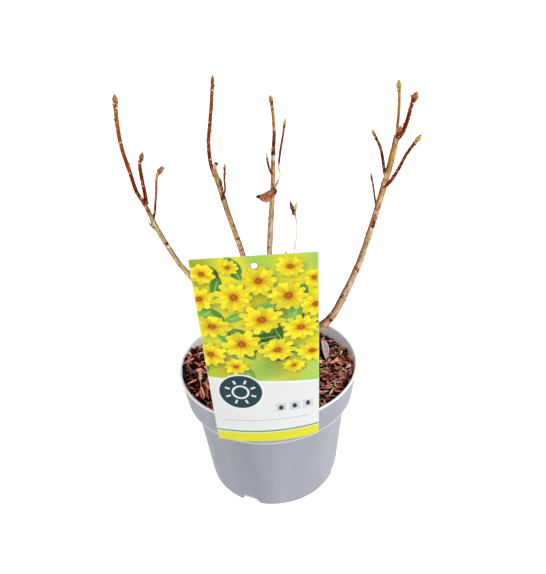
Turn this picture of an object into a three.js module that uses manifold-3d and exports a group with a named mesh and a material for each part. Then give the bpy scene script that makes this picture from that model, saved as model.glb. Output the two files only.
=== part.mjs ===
// A potted azalea in winter rest: bare woody stems with scaly buds, standing in a
// bark-mulched nursery pot, with a picture label clipped on the front of the rim.
// Millimetres, +Z up. The origin is the centre of the pot's underside, and the
// label faces -Y.
import * as THREE from "three";
import { mergeVertices } from "three/addons/utils/BufferGeometryUtils.js";
import Module from "manifold-3d";

const wasm = await Module();
wasm.setup();

// Driving dimensions
const POT_HEIGHT = 126;
const RIM_RADIUS = 85;
const RIM_LIP = 2.2;
const WALL = 1.6;
const COLLAR_RADIUS = 81;
const COLLAR_BOTTOM = 96;
const BODY_TOP_RADIUS = 75;
const FOOT_RADIUS = 66;
const BASE_UNDERSIDE = 7.8;
const BASE_TOP = 9.6;
const PAD_RADIUS = 14;
const NOTCH_COUNT = 4;
const NOTCH_WIDTH = 20;
const NOTCH_HEIGHT = 6.6;
const FIRST_NOTCH_ANGLE = THREE.MathUtils.degToRad(-111);
const DRAIN_COUNT = 8;
const DRAIN_RADIUS = 4;
const DRAIN_CIRCLE = 46;
const ROUND_SIDES = 56;

const CLEARANCE = 0.35;
const SOIL_TOP = 108;
const MULCH_TOP = 111;
const CHIP_COUNT = 112;
const CHIP_SEED = 41;
const MULCH_MARGIN = 3.2;

// The pale leaf that lies on the mulch, from its near end to its far end
const PALE_LEAF = { x: 57, nearY: 8, farY: 34, nearZ: 113.5, farZ: 119, halfWidth: 3.2, thickness: 0.9 };

const LABEL_WIDTH = 86.5;
const LABEL_LENGTH = 177.5;
const LABEL_BOTTOM = 102.2;
const LABEL_THICKNESS = 0.8;
const LABEL_TURN = THREE.MathUtils.degToRad(0.4);
const LABEL_SHIFT = -2.1;
const LABEL_BEND_RADIUS = 132;
const LABEL_FOOT_Y = -82.7;
const LABEL_RIM_Y = -86.2;
const LABEL_TOP_Y = -92.5;
const LABEL_HOLE_RADIUS = 2.3;
const LABEL_HOLE_DROP = 7.5;
const STAKE_WIDTH = 22;
const STAKE_INNER_Y = -81;
const STAKE_TOP = 158;
const STAKE_BOTTOM = 78;

// The withered leaf: where its stalk end is, and how it hangs from there
const DRY_LEAF = {
  stalk: [14.6, -4.1, 295.2],
  length: 14,
  halfWidth: 5.2,
  droop: 3.2,
  curl: 2.2,
  thickness: 0.7,
};

const BURIED = 88;
const HOLE_BOTTOM = 84;

const COLOURS = {
  pot: 0xaeb1bb,
  soil: 0x3a2a20,
  mulch: 0x6b3a26,
  paleLeaf: 0xb5a8a8,
  bark: 0xb98f5e,
  twig: 0xc9b08c,
  leaf: 0x8a4a2a,
  label: 0xe8e30a,
};

// Every shoot is a list of [x, y, z, radius] from its foot to its tip. A bud, where
// there is one, is [length, radius] and sits on the tip.
const STEMS = {
  stem_left: [
    {
      sides: 8,
      path: [
        [-8, 3, BURIED, 3.0], [-13, 2, 112, 3.0], [-24, 0, 138, 2.9], [-37, -3, 168, 2.7],
        [-50, -6, 199, 2.5], [-62, -9, 225, 2.2], [-69.5, -11, 239, 2.1], [-77, -14, 259, 2.0],
        [-83, -16, 277, 1.9], [-86, -18, 290, 1.7], [-89, -19, 299, 1.5],
      ],
    },
    {
      path: [
        [-87.2, -18.5, 295, 1.5], [-91.3, -20, 305, 1.5], [-93, -22, 321, 1.5],
        [-95, -23, 336, 1.5], [-95.3, -24, 350.5, 1.5], [-94.2, -24, 365, 1.45], [-93.5, -24, 370.5, 1.5],
      ],
      bud: [6.2, 1.95],
    },
    {
      path: [
        [-86, -17.5, 293.5, 1.5], [-86.5, -15, 302, 1.5], [-88.3, -9, 314, 1.45],
        [-88.8, -6, 321.5, 1.4], [-87.2, -5, 326, 1.4],
      ],
      bud: [5.6, 1.6],
    },
    {
      path: [
        [-83.2, -16, 281, 1.1], [-80.1, -19, 288.5, 1.05], [-77.7, -22.5, 297, 1.0],
        [-75.3, -26, 305, 1.0], [-71.8, -31.5, 318, 1.0], [-69.2, -33.5, 322, 1.05],
      ],
      bud: [7.2, 1.7],
    },
    { path: [[-82, -15.4, 271, 0.9], [-85.6, -18.6, 276.5, 0.7], [-86.4, -20.5, 281.5, 0.6]] },
  ],
  stem_centre_left: [
    {
      sides: 8,
      path: [
        [-2, 9, BURIED, 3.1], [-3, 10, 112, 3.1], [-6, 13, 150, 3.0], [-10, 17, 190, 2.8],
        [-17, 20, 228, 2.45], [-22.1, 24, 247, 2.3], [-27.2, 28, 265, 2.3], [-31.6, 32, 283, 2.4],
        [-35.2, 35, 297, 2.3], [-38, 36, 304, 1.8],
      ],
    },
    {
      path: [
        [-36.4, 35.5, 298, 1.75], [-38.9, 36, 309, 1.7], [-38.9, 37, 326, 1.65],
        [-36.4, 38, 340, 1.6], [-33.7, 39, 354.5, 1.5], [-31.5, 40, 368, 1.4], [-30.9, 40, 372, 1.4],
      ],
      bud: [7.0, 1.8],
    },
    { path: [[-35.4, 35, 298, 2.0], [-36, 36, 304.6, 1.8], [-33.8, 34.6, 308.8, 1.7]] },
    {
      path: [
        [-31.3, 31, 279, 1.0], [-28.6, 33.5, 286, 0.95], [-28.5, 37, 294, 0.95], [-27.7, 39.5, 302, 1.0],
      ],
      bud: [5.6, 1.3],
    },
    {
      path: [[-31.6, 29.5, 278, 1.2], [-30.2, 26.4, 284, 1.15], [-30.8, 26.2, 292, 1.1]],
      bud: [7.5, 1.35],
    },
  ],
  stem_centre: [
    {
      sides: 8,
      path: [
        [5, -4, BURIED, 3.0], [5, -4, 112, 3.0], [5, -5, 150, 2.9], [5.6, -5, 195, 2.8],
        [7.2, -4, 240, 2.4], [10, -3, 270, 2.2], [12.3, -2, 291, 1.9], [13.6, -2, 307, 1.75],
        [14.2, -2, 319, 1.7], [14.6, -2, 327, 1.5],
      ],
    },
    {
      path: [
        [14.4, -2, 323, 1.5], [15, -2.4, 329, 1.5], [15.6, -3, 335, 1.4],
        [16, -4, 344, 1.3], [15.6, -5, 354, 1.2], [14.8, -6, 362.5, 1.2],
      ],
      bud: [5.4, 1.6],
    },
    {
      path: [
        [13, -1, 294, 0.9], [16.6, 1, 299.5, 0.8], [19.4, 4, 305, 0.75], [18.4, 6, 311, 0.9],
        [20.9, 9, 325, 0.95], [22.7, 10, 333, 0.95], [24.4, 11, 341.5, 1.0],
      ],
      bud: [6.4, 1.45],
    },
    {
      path: [[13.2, -2, 307, 1.0], [11.3, -5, 311.5, 0.95], [10, -8, 317.5, 0.9], [9.6, -9, 322, 0.9]],
      bud: [5.4, 1.1],
    },
  ],
  stem_right: [
    {
      sides: 9,
      path: [
        [16, 8, BURIED, 4.3], [18, 8.5, 108, 4.3], [27, 10, 128, 4.2], [39, 11, 141, 4.1],
        [52.6, 12, 151.7, 4.0], [64.4, 14, 163, 3.8], [74, 16, 181, 3.5], [85, 18, 205.5, 3.0],
        [91, 19, 222, 2.8], [96.5, 20, 241, 2.7], [100.5, 20, 256, 2.7], [106, 20, 279, 2.6],
        [110.2, 20, 297, 2.6], [113.1, 20, 311, 2.5], [115.5, 20, 327, 2.1],
      ],
    },
    {
      path: [
        [115.2, 20, 322, 1.35], [115.8, 20, 336, 1.25], [115.7, 19, 346, 1.2],
        [115.2, 18, 355.5, 1.15], [114.1, 17, 364, 1.2],
      ],
      bud: [6.8, 1.9],
    },
    {
      path: [
        [115.4, 20, 324, 1.9], [119.4, 23, 326.5, 1.9], [122.5, 25, 330.5, 1.8], [125.7, 28, 338, 1.7],
        [128.3, 31, 346, 1.6], [130.7, 33, 351.5, 1.7],
      ],
      bud: [7.6, 2.6],
    },
    { path: [[115.3, 19, 326, 1.2], [116, 15, 331.5, 1.2]], bud: [7.0, 1.5] },
    {
      path: [
        [109.2, 20.5, 292, 1.45], [108, 24, 298, 1.35], [107, 29, 308, 1.3],
        [105.1, 33, 316.5, 1.2], [101.3, 36, 324.5, 1.15],
      ],
      bud: [6.4, 1.5],
    },
    {
      path: [
        [107.4, 19, 284.5, 1.5], [111.9, 14, 292, 1.5], [115.8, 8, 303, 1.4],
        [119.9, 3, 316, 1.3], [125.4, -2, 327, 1.35],
      ],
      bud: [8.2, 2.0],
    },
    {
      path: [[102.6, 21, 266, 0.95], [101.4, 24.4, 273, 0.85], [100.2, 27, 282, 0.8], [99, 29, 289, 0.85]],
      bud: [6.4, 1.15],
    },
    { path: [[99.3, 18, 250, 1.3], [99.9, 15.6, 256, 1.15]], bud: [9.0, 1.2] },
  ],
  twig_back: [
    {
      sides: 6,
      path: [
        [15, 24, BURIED, 1.1], [16, 25, 112, 1.1], [20, 30, 150, 1.0], [26, 36, 190, 0.9],
        [31, 40, 222, 0.8], [33.6, 43, 238, 0.75], [33.4, 45, 251, 0.75], [31.6, 46, 257, 0.9],
      ],
    },
    { path: [[31.8, 46, 254.5, 1.3], [30.8, 46.3, 258.4, 1.3]], bud: [10.4, 1.6] },
    { path: [[31.6, 46, 255, 1.3], [32.6, 45.7, 258.6, 1.3]], bud: [9.4, 1.5] },
  ],
  twig_low: [
    {
      sides: 6,
      path: [
        [2, 30, BURIED, 1.1], [4, 31, 112, 1.1], [12, 37, 160, 0.95], [19, 42, 200, 0.8],
        [22.2, 44, 213.5, 0.8],
      ],
      bud: [6.4, 1.4],
    },
  ],
};

// A small repeatable random number source
function randomSource(seed) {
  let state = seed;
  return () => {
    state = (state + 0x6d2b79f5) | 0;
    let t = Math.imul(state ^ (state >>> 15), 1 | state);
    t = (t + Math.imul(t ^ (t >>> 7), 61 | t)) ^ t;
    return ((t ^ (t >>> 14)) >>> 0) / 4294967296;
  };
}

function between(random, low, high) {
  return low + (high - low) * random();
}

function solidOf(geometry) {
  const bare = geometry.clone();
  bare.deleteAttribute("normal");
  bare.deleteAttribute("uv");
  const merged = mergeVertices(bare, 1e-4);
  return new wasm.Manifold(
    new wasm.Mesh({
      numProp: 3,
      vertProperties: new Float32Array(merged.attributes.position.array),
      triVerts: new Uint32Array(merged.index.array),
    }),
  );
}

function geometryOf(solid) {
  const mesh = solid.getMesh();
  const geometry = new THREE.BufferGeometry();
  geometry.setAttribute("position", new THREE.BufferAttribute(new Float32Array(mesh.vertProperties), 3));
  geometry.setIndex(new THREE.BufferAttribute(new Uint32Array(mesh.triVerts), 1));
  geometry.computeVertexNormals();
  return geometry;
}

// Turns a profile of [radius, height] pairs about the Z axis
function turned(profile, sides = ROUND_SIDES) {
  const points = profile.map(([r, z]) => new THREE.Vector2(r, z));
  return solidOf(new THREE.LatheGeometry(points, sides).rotateX(Math.PI / 2));
}

// An upright cylinder from z0 to z1
function upright(radius, z0, z1, x = 0, y = 0, sides = 12) {
  const cylinder = new THREE.CylinderGeometry(radius, radius, z1 - z0, sides).rotateX(Math.PI / 2);
  return solidOf(cylinder.translate(x, y, (z0 + z1) / 2));
}

// A rod along a smooth path of [x, y, z, radius] points, with closed ends
function rod(path, sides, extra = 0) {
  const curve = new THREE.CatmullRomCurve3(path.map(([x, y, z]) => new THREE.Vector3(x, y, z)));
  const steps = Math.max(3, Math.round(curve.getLength() / 9));
  const frames = curve.computeFrenetFrames(steps, false);
  const marks = [0];
  for (let i = 1; i < path.length; i += 1) {
    const [x, y, z] = path[i].map((value, axis) => value - path[i - 1][axis]);
    marks.push(marks[i - 1] + Math.hypot(x, y, z));
  }
  const radiusAt = (t) => {
    const along = t * marks[marks.length - 1];
    let i = 1;
    while (i < marks.length - 1 && marks[i] < along) i += 1;
    const share = (along - marks[i - 1]) / (marks[i] - marks[i - 1]);
    return THREE.MathUtils.lerp(path[i - 1][3], path[i][3], share) + extra;
  };
  const geometry = new THREE.CylinderGeometry(1, 1, 1, sides, steps);
  const position = geometry.attributes.position;
  for (let i = 0; i < position.count; i += 1) {
    const t = 0.5 - position.getY(i);
    const row = Math.round(t * steps);
    const radius = radiusAt(row / steps);
    const point = curve.getPointAt(row / steps);
    point.addScaledVector(frames.normals[row], position.getX(i) * radius);
    point.addScaledVector(frames.binormals[row], position.getZ(i) * radius);
    position.setXYZ(i, point.x, point.y, point.z);
  }
  return { solid: solidOf(geometry), end: curve.getPointAt(1), direction: curve.getTangentAt(1) };
}

// A scaly bud: three tiers of overlapping scales that narrow to a point
const BUD_PROFILE = [
  [0, -0.12], [0.55, -0.1], [0.92, 0.06], [1.0, 0.2], [0.8, 0.26], [0.94, 0.42],
  [0.68, 0.5], [0.7, 0.64], [0.36, 0.8], [0.12, 0.96], [0, 1.0],
];

function bud(end, direction, length, radius) {
  const points = BUD_PROFILE.map(([r, z]) => new THREE.Vector2(r * radius, z * length));
  const geometry = new THREE.LatheGeometry(points, 6);
  const turn = new THREE.Quaternion().setFromUnitVectors(new THREE.Vector3(0, 1, 0), direction);
  return solidOf(geometry.applyQuaternion(turn).translate(end.x, end.y, end.z));
}

// A thin closed sheet: both faces follow the same grid and the same diagonals
function sheet(surface, thickness, columns, rows) {
  const at = (i, j) => surface(i / columns, j / rows);
  const normalAt = (i, j) => {
    const e = 0.01;
    const du = surface(i / columns + e, j / rows).sub(surface(i / columns - e, j / rows));
    const dv = surface(i / columns, j / rows + e).sub(surface(i / columns, j / rows - e));
    return du.cross(dv).normalize();
  };
  const vertices = [];
  for (const side of [0.5, -0.5]) {
    for (let j = 0; j <= rows; j += 1) {
      for (let i = 0; i <= columns; i += 1) {
        const p = at(i, j).addScaledVector(normalAt(i, j), side * thickness);
        vertices.push(p.x, p.y, p.z);
      }
    }
  }
  const wide = columns + 1;
  const back = wide * (rows + 1);
  const index = [];
  const quad = (a, b, c, d) => index.push(a, b, c, a, c, d);
  for (let j = 0; j < rows; j += 1) {
    for (let i = 0; i < columns; i += 1) {
      const a = j * wide + i;
      index.push(a, a + 1, a + wide + 1, a, a + wide + 1, a + wide);
      index.push(back + a, back + a + wide + 1, back + a + 1, back + a, back + a + wide, back + a + wide + 1);
    }
  }
  for (let i = 0; i < columns; i += 1) {
    const top = rows * wide + i;
    quad(i, back + i, back + i + 1, i + 1);
    quad(top, top + 1, back + top + 1, back + top);
  }
  for (let j = 0; j < rows; j += 1) {
    const left = j * wide;
    const right = left + columns;
    quad(left, left + wide, back + left + wide, back + left);
    quad(right, back + right, back + right + wide, right + wide);
  }
  const geometry = new THREE.BufferGeometry();
  geometry.setAttribute("position", new THREE.Float32BufferAttribute(vertices, 3));
  geometry.setIndex(index);
  return solidOf(geometry);
}

// The nursery pot: tapered body, flared collar, thin foot ring with drainage notches
function makePot() {
  const inside = (radius) => radius - WALL;
  let pot = turned([
    [0, 0], [PAD_RADIUS, 0], [PAD_RADIUS + 2, BASE_UNDERSIDE], [inside(FOOT_RADIUS) - 0.4, BASE_UNDERSIDE],
    [inside(FOOT_RADIUS), 0], [FOOT_RADIUS, 0], [BODY_TOP_RADIUS, COLLAR_BOTTOM - 4],
    [COLLAR_RADIUS, COLLAR_BOTTOM], [RIM_RADIUS, POT_HEIGHT - 1], [RIM_RADIUS - 0.5, POT_HEIGHT],
    [RIM_RADIUS - RIM_LIP, POT_HEIGHT], [RIM_RADIUS - RIM_LIP, POT_HEIGHT - 3],
    [inside(COLLAR_RADIUS), COLLAR_BOTTOM + 2], [inside(BODY_TOP_RADIUS), COLLAR_BOTTOM - 3],
    [inside(FOOT_RADIUS) + 0.6, BASE_TOP], [PAD_RADIUS, BASE_TOP], [PAD_RADIUS - 2, 2], [0, 2],
  ]);
  for (let i = 0; i < NOTCH_COUNT; i += 1) {
    const angle = FIRST_NOTCH_ANGLE + (i * 2 * Math.PI) / NOTCH_COUNT;
    const half = NOTCH_WIDTH / 2;
    const reach = 7;
    const arch = new THREE.Shape();
    arch.moveTo(-half, -1);
    arch.lineTo(-half + 1, NOTCH_HEIGHT * 0.75);
    arch.quadraticCurveTo(-half + 1.6, NOTCH_HEIGHT, -half + 4, NOTCH_HEIGHT);
    arch.lineTo(half - 6, NOTCH_HEIGHT);
    arch.quadraticCurveTo(half - 3, NOTCH_HEIGHT * 0.95, half, -1);
    const sweep = { depth: 2 * reach, bevelEnabled: false, curveSegments: 4 };
    const cutter = new THREE.ExtrudeGeometry(arch, sweep);
    cutter.rotateX(Math.PI / 2).translate(0, FOOT_RADIUS + reach, 0).rotateZ(angle - Math.PI / 2);
    pot = pot.subtract(solidOf(cutter));
  }
  for (let i = 0; i < DRAIN_COUNT; i += 1) {
    const angle = ((i + 0.5) * 2 * Math.PI) / DRAIN_COUNT;
    const x = DRAIN_CIRCLE * Math.cos(angle);
    const y = DRAIN_CIRCLE * Math.sin(angle);
    pot = pot.subtract(upright(DRAIN_RADIUS, 0, BASE_TOP + 2, x, y));
  }
  return pot;
}

// Plain holes that the stems and the label's stake stand in
function makeHoles() {
  const ease = CLEARANCE + 0.3;
  const mains = Object.values(STEMS).map(([main]) => main.path);
  const cutters = mains.map((path) => rod(path, 10, ease).solid);
  for (const [[x, y, , radius]] of mains) {
    cutters.push(upright(radius + ease, HOLE_BOTTOM, BURIED + 1, x, y, 10));
  }
  const slotDepth = 3.2;
  const slotHeight = STAKE_TOP - STAKE_BOTTOM + 2;
  const slot = new THREE.BoxGeometry(STAKE_WIDTH + 1, slotDepth, slotHeight);
  cutters.push(solidOf(slot.translate(0, STAKE_INNER_Y + 0.6, (STAKE_TOP + STAKE_BOTTOM) / 2)));
  cutters.push(makeStake(CLEARANCE + 0.2));
  return wasm.Manifold.union(cutters);
}

// The radius of the inner wall at a height, less the clearance
function innerRadius(z) {
  const top = BODY_TOP_RADIUS - WALL;
  const foot = FOOT_RADIUS - WALL + 0.6;
  const share = (z - BASE_TOP) / (COLLAR_BOTTOM - 3 - BASE_TOP);
  return THREE.MathUtils.lerp(foot, top, share) - CLEARANCE;
}

// The peat that fills the pot
function makeSoil(holes) {
  const shoulder = COLLAR_BOTTOM - 3;
  const floor = BASE_TOP + CLEARANCE;
  const collar = COLLAR_RADIUS - WALL - CLEARANCE;
  const collarTop = RIM_RADIUS - RIM_LIP - CLEARANCE;
  const share = (SOIL_TOP - COLLAR_BOTTOM - 2) / (POT_HEIGHT - COLLAR_BOTTOM - 2);
  return turned([
    [0, floor], [innerRadius(floor), floor], [innerRadius(shoulder), shoulder - 0.2],
    [collar, COLLAR_BOTTOM + 2], [THREE.MathUtils.lerp(collar, collarTop, share), SOIL_TOP], [0, SOIL_TOP],
  ]).subtract(holes);
}

// One angular chip of bark, lying nearly flat
function chip(random, x, y, z, long, wide, thick) {
  const geometry = new THREE.BoxGeometry(long, wide, thick);
  const position = geometry.attributes.position;
  const jitter = Array.from({ length: 8 }, () => [random() - 0.5, random() - 0.5, random() - 0.5]);
  for (let i = 0; i < position.count; i += 1) {
    const [right, far, high] = [position.getX(i) > 0, position.getY(i) > 0, position.getZ(i) > 0];
    const [jx, jy, jz] = jitter[(right ? 1 : 0) + (far ? 2 : 0) + (high ? 4 : 0)];
    position.setXYZ(
      i,
      position.getX(i) + jx * long * 0.35,
      position.getY(i) + jy * wide * 0.45,
      position.getZ(i) + jz * thick * 0.5,
    );
  }
  const tilt = new THREE.Euler((random() - 0.5) * 0.9, (random() - 0.5) * 0.8, random() * Math.PI * 2, "ZYX");
  geometry.applyQuaternion(new THREE.Quaternion().setFromEuler(tilt));
  return solidOf(geometry.translate(x, y, z));
}

// The mulch: a thin bed with bark chips standing out of it all over
function makeMulch(holes) {
  const random = randomSource(CHIP_SEED);
  const bedRadius = RIM_RADIUS - RIM_LIP - MULCH_MARGIN;
  const floor = SOIL_TOP + CLEARANCE;
  const bed = turned([[0, floor], [bedRadius - 0.6, floor], [bedRadius, MULCH_TOP], [0, MULCH_TOP]], 40);
  const chips = [bed];
  const golden = Math.PI * (3 - Math.sqrt(5));
  for (let i = 0; i < CHIP_COUNT; i += 1) {
    const ring = (bedRadius - 4) * Math.sqrt((i + 0.5) / CHIP_COUNT);
    const x = ring * Math.cos(i * golden) + between(random, -2, 2);
    const y = ring * Math.sin(i * golden) + between(random, -2, 2);
    const long = between(random, 8, 16);
    const wide = between(random, 5, 9);
    const thick = between(random, 2.2, 4.4);
    chips.push(chip(random, x, y, MULCH_TOP + between(random, 0.4, 2), long, wide, thick));
  }
  const inside = turned([[0, floor], [bedRadius, floor], [bedRadius + 1.6, POT_HEIGHT], [0, POT_HEIGHT]], 40);
  const heap = wasm.Manifold.union(chips).intersect(inside);
  return largest(heap.subtract(holes).subtract(makePaleLeaf(CLEARANCE)));
}

// A slender dry leaf. A margin thickens it, for the bed that the leaf leaves in the mulch.
function makePaleLeaf(margin = 0) {
  const { x, nearY, farY, nearZ, farZ, halfWidth, thickness } = PALE_LEAF;
  const surface = (u, v) => {
    const half = 0.6 + (halfWidth - 0.6) * Math.sin(Math.PI * THREE.MathUtils.clamp(u, 0, 1)) + margin;
    const across = (v - 0.5) * 2;
    const y = THREE.MathUtils.lerp(nearY - margin, farY + margin, u);
    const z = THREE.MathUtils.lerp(nearZ, farZ, u) + 0.6 * Math.abs(across);
    return new THREE.Vector3(x + across * half, y, z);
  };
  return sheet(surface, thickness + 2 * margin, 8, 2);
}

// Drops the loose scraps that a cut can leave
function largest(solid) {
  return solid.decompose().reduce((best, piece) => (piece.volume() > best.volume() ? piece : best));
}

// The label's middle surface. u runs across it and v runs up it, both 0 to 1.
function labelSurface(u, v) {
  const across = (u - 0.5) * LABEL_WIDTH;
  const up = v * LABEL_LENGTH;
  const x = Math.cos(LABEL_TURN) * across - Math.sin(LABEL_TURN) * up;
  const h = Math.sin(LABEL_TURN) * across + Math.cos(LABEL_TURN) * up;
  const bend = Math.max((1 - h / LABEL_LENGTH) / LABEL_BEND_RADIUS, 1e-4);
  const toRim = POT_HEIGHT - LABEL_BOTTOM;
  const front =
    h < toRim
      ? THREE.MathUtils.lerp(LABEL_FOOT_Y, LABEL_RIM_Y, Math.sin((Math.max(h, -3) / toRim) * (Math.PI / 2)))
      : THREE.MathUtils.lerp(LABEL_RIM_Y, LABEL_TOP_Y, (h - toRim) / (LABEL_LENGTH - toRim));
  return new THREE.Vector3(
    LABEL_SHIFT + Math.sin(bend * x) / bend,
    front + (1 - Math.cos(bend * x)) / bend,
    LABEL_BOTTOM + h,
  );
}

// The stake behind the card: it leaves the card's back above the rim, passes
// inside the rim and stands in the soil, so that card and stake grip the wall.
function makeStake(extra) {
  const half = LABEL_THICKNESS / 2 + extra;
  const outline = new THREE.Shape();
  const cardAtTop = labelSurface(0.5, (STAKE_TOP - LABEL_BOTTOM) / LABEL_LENGTH).y;
  const centre = [
    [cardAtTop + 0.6, STAKE_TOP], [STAKE_INNER_Y - 0.6, STAKE_TOP - 22], [STAKE_INNER_Y, POT_HEIGHT - 2],
    [-77.4, 100], [-70.9, 92], [-69.6, STAKE_BOTTOM],
  ];
  centre.forEach(([y, z], i) => (i ? outline.lineTo(y + half, z) : outline.moveTo(y + half, z)));
  outline.lineTo(centre.at(-1)[0] - half, STAKE_BOTTOM - extra);
  [...centre].reverse().slice(1).forEach(([y, z]) => outline.lineTo(y - half, z));
  const width = STAKE_WIDTH + 2 * extra;
  const geometry = new THREE.ExtrudeGeometry(outline, { depth: width, bevelEnabled: false });
  const axes = new THREE.Matrix4().makeBasis(
    new THREE.Vector3(0, 1, 0),
    new THREE.Vector3(0, 0, 1),
    new THREE.Vector3(1, 0, 0),
  );
  return solidOf(geometry.translate(0, 0, -width / 2).applyMatrix4(axes));
}

// The picture card with its punched hole and its stake
function makeLabel() {
  const card = sheet(labelSurface, LABEL_THICKNESS, 8, 16);
  const at = labelSurface(0.5, 1 - LABEL_HOLE_DROP / LABEL_LENGTH);
  const punch = new THREE.CylinderGeometry(LABEL_HOLE_RADIUS, LABEL_HOLE_RADIUS, 8, 16);
  return card.add(makeStake(0)).subtract(solidOf(punch.translate(at.x, at.y, at.z)));
}

// One stem with its side shoots and buds, grown together
function makeStem(shoots) {
  const grown = shoots.flatMap(({ path, sides = 6, bud: size }) => {
    const { solid, end, direction } = rod(path, sides);
    return size ? [solid, bud(end, direction, size[0], size[1])] : [solid];
  });
  return wasm.Manifold.union(grown);
}

// The withered leaf that still hangs in front of the middle stem, curled up at its edges
function makeDryLeaf() {
  const { stalk, length, halfWidth, droop, curl, thickness } = DRY_LEAF;
  const surface = (u, v) => {
    const along = THREE.MathUtils.clamp(u, 0, 1);
    const half = 0.7 + halfWidth * Math.sin(Math.PI * along ** 0.75) ** 0.8 * (1 - 0.35 * along);
    const across = (v - 0.5) * 2;
    const wave = 0.5 * Math.sin(9 * u + 2 * across);
    return new THREE.Vector3(
      stalk[0] - length * u - 1.5 * across,
      stalk[1] - 6 * u - curl * across * across + wave,
      stalk[2] - droop * Math.sin(Math.PI * u) + across * half,
    );
  };
  return sheet(surface, thickness, 10, 6);
}

function addPiece(group, name, solid, colour, roughness = 0.8) {
  const material = new THREE.MeshStandardMaterial({ color: colour, roughness, metalness: 0 });
  const mesh = new THREE.Mesh(geometryOf(solid), material);
  mesh.name = name;
  group.add(mesh);
}

const azalea = new THREE.Group();
const holes = makeHoles();
addPiece(azalea, "pot", makePot(), COLOURS.pot, 0.55);
addPiece(azalea, "soil", makeSoil(holes), COLOURS.soil, 0.95);
addPiece(azalea, "bark_mulch", makeMulch(holes), COLOURS.mulch, 0.9);
addPiece(azalea, "pale_leaf", makePaleLeaf(), COLOURS.paleLeaf);
for (const [name, shoots] of Object.entries(STEMS)) {
  addPiece(azalea, name, makeStem(shoots), name.startsWith("twig") ? COLOURS.twig : COLOURS.bark);
}
addPiece(azalea, "dry_leaf", makeDryLeaf(), COLOURS.leaf);
addPiece(azalea, "label", makeLabel(), COLOURS.label, 0.4);

export default azalea;
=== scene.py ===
"""Dresses the potted azalea: bark, buds, a bark-chip mulch, a moulded pot and a printed label.

Lengths are in millimetres until a mesh is built. The origin is the centre of the pot's
underside, +Z is up and the label faces -Y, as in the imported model.
"""

import math
import random

import bpy
import numpy as np
from mathutils import Matrix, Vector, noise


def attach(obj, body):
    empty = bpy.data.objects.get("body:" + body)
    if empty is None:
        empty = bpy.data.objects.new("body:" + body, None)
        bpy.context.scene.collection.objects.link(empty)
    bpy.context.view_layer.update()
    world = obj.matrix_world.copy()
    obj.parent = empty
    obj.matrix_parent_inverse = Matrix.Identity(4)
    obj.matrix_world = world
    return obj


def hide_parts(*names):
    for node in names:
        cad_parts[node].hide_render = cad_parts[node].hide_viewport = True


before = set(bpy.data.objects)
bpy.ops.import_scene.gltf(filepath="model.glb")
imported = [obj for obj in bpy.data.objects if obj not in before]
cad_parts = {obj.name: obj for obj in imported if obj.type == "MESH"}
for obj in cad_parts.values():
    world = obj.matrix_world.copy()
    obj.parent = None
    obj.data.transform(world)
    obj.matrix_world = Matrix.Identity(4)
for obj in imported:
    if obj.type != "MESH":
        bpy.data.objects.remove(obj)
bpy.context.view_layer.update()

MM = 0.001
TAU = 2 * math.pi
GOLDEN = math.pi * (3 - math.sqrt(5))

# Camera, fitted to the photograph's frame of 546 x 574 pixels
FOCAL_PX = 503
FRAME_HEIGHT_PX = 574
SENSOR = 36
CAMERA_AT = (8.5, -394.0, 420.4)
CAMERA_DOWN = math.radians(28.7)
CAMERA_ROLL = math.radians(-3.22)

# The pot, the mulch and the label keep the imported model's sizes
POT_HEIGHT = 126
RIM_RADIUS = 85
WALL = 1.6
LIP = 2.2
COLLAR_RADIUS = 81
COLLAR_BOTTOM = 96
BODY_TOP_RADIUS = 75
FOOT_RADIUS = 66
BASE_UNDERSIDE = 7.8
BASE_TOP = 9.6
PAD_RADIUS = 14
NOTCH_COUNT = 4
NOTCH_ANGLE = math.radians(-111)
NOTCH_WIDTH = 20
NOTCH_HEIGHT = 6.6
DRAIN_COUNT = 8
DRAIN_RADIUS = 4
DRAIN_CIRCLE = 46
COLLAR_SLOPE = 0.136
INNER_FACE = 66.07
MULCH_TOP = 111
MULCH_RADIUS = 80.8

# Soft light from the front and right, over a floor that reaches the horizon (metres)
FLOOR_REACH = 60
FLOOR_GLOW = 0.62
SKY_STRENGTH = 0.38
KEY_STRENGTH = 1.75
KEY_FROM = (1.1, -0.7, 1.0)
FILL_STRENGTH = 0.4
FILL_FROM = (-0.85, -0.3, 0.85)

# The label card, the stake behind it, and the strength of its inks
LABEL_WIDTH = 86.5
LABEL_LENGTH = 177.5
LABEL_BOTTOM = 102.2
LABEL_THICKNESS = 0.8
LABEL_TURN = math.radians(0.4)
LABEL_SHIFT = -2.1
LABEL_BEND_RADIUS = 132
LABEL_FOOT_Y = -82.7
LABEL_RIM_Y = -86.2
LABEL_TOP_Y = -92.5
LABEL_HOLE_RADIUS = 2.3
LABEL_HOLE_DROP = 7.5
STAKE_WIDTH = 22
INK_GAIN = 0.755
PICTURE_GAIN = 1.18


def linear(code):
    """A hex colour such as "8a4a2a" as linear red, green and blue."""
    values = [int(code[i : i + 2], 16) / 255 for i in (0, 2, 4)]
    return np.array([v / 12.92 if v <= 0.04045 else ((v + 0.055) / 1.055) ** 2.4 for v in values])


def mix(a, b, share):
    return a + (b - a) * share


def smooth(low, high, value):
    """0 below low, 1 above high, with an eased step between. high may be under low."""
    t = np.clip((np.asarray(value, float) - low) / (high - low), 0, 1)
    return t * t * (3 - 2 * t)


def linears(codes):
    """Hex colours with spaces between, as one array."""
    return np.array([linear(code) for code in codes.split()])


def ramp(places, colours, t):
    """The colour at t, from colours that stand at growing places."""
    return np.array([np.interp(t, places, colours[:, k]) for k in range(3)])


def unit(vector):
    return vector / np.linalg.norm(vector)


def turns(sides):
    """Angles at even steps round a circle."""
    return [j * TAU / sides for j in range(sides)]


def polar(radius, angle):
    return radius * math.cos(angle), radius * math.sin(angle)


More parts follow.
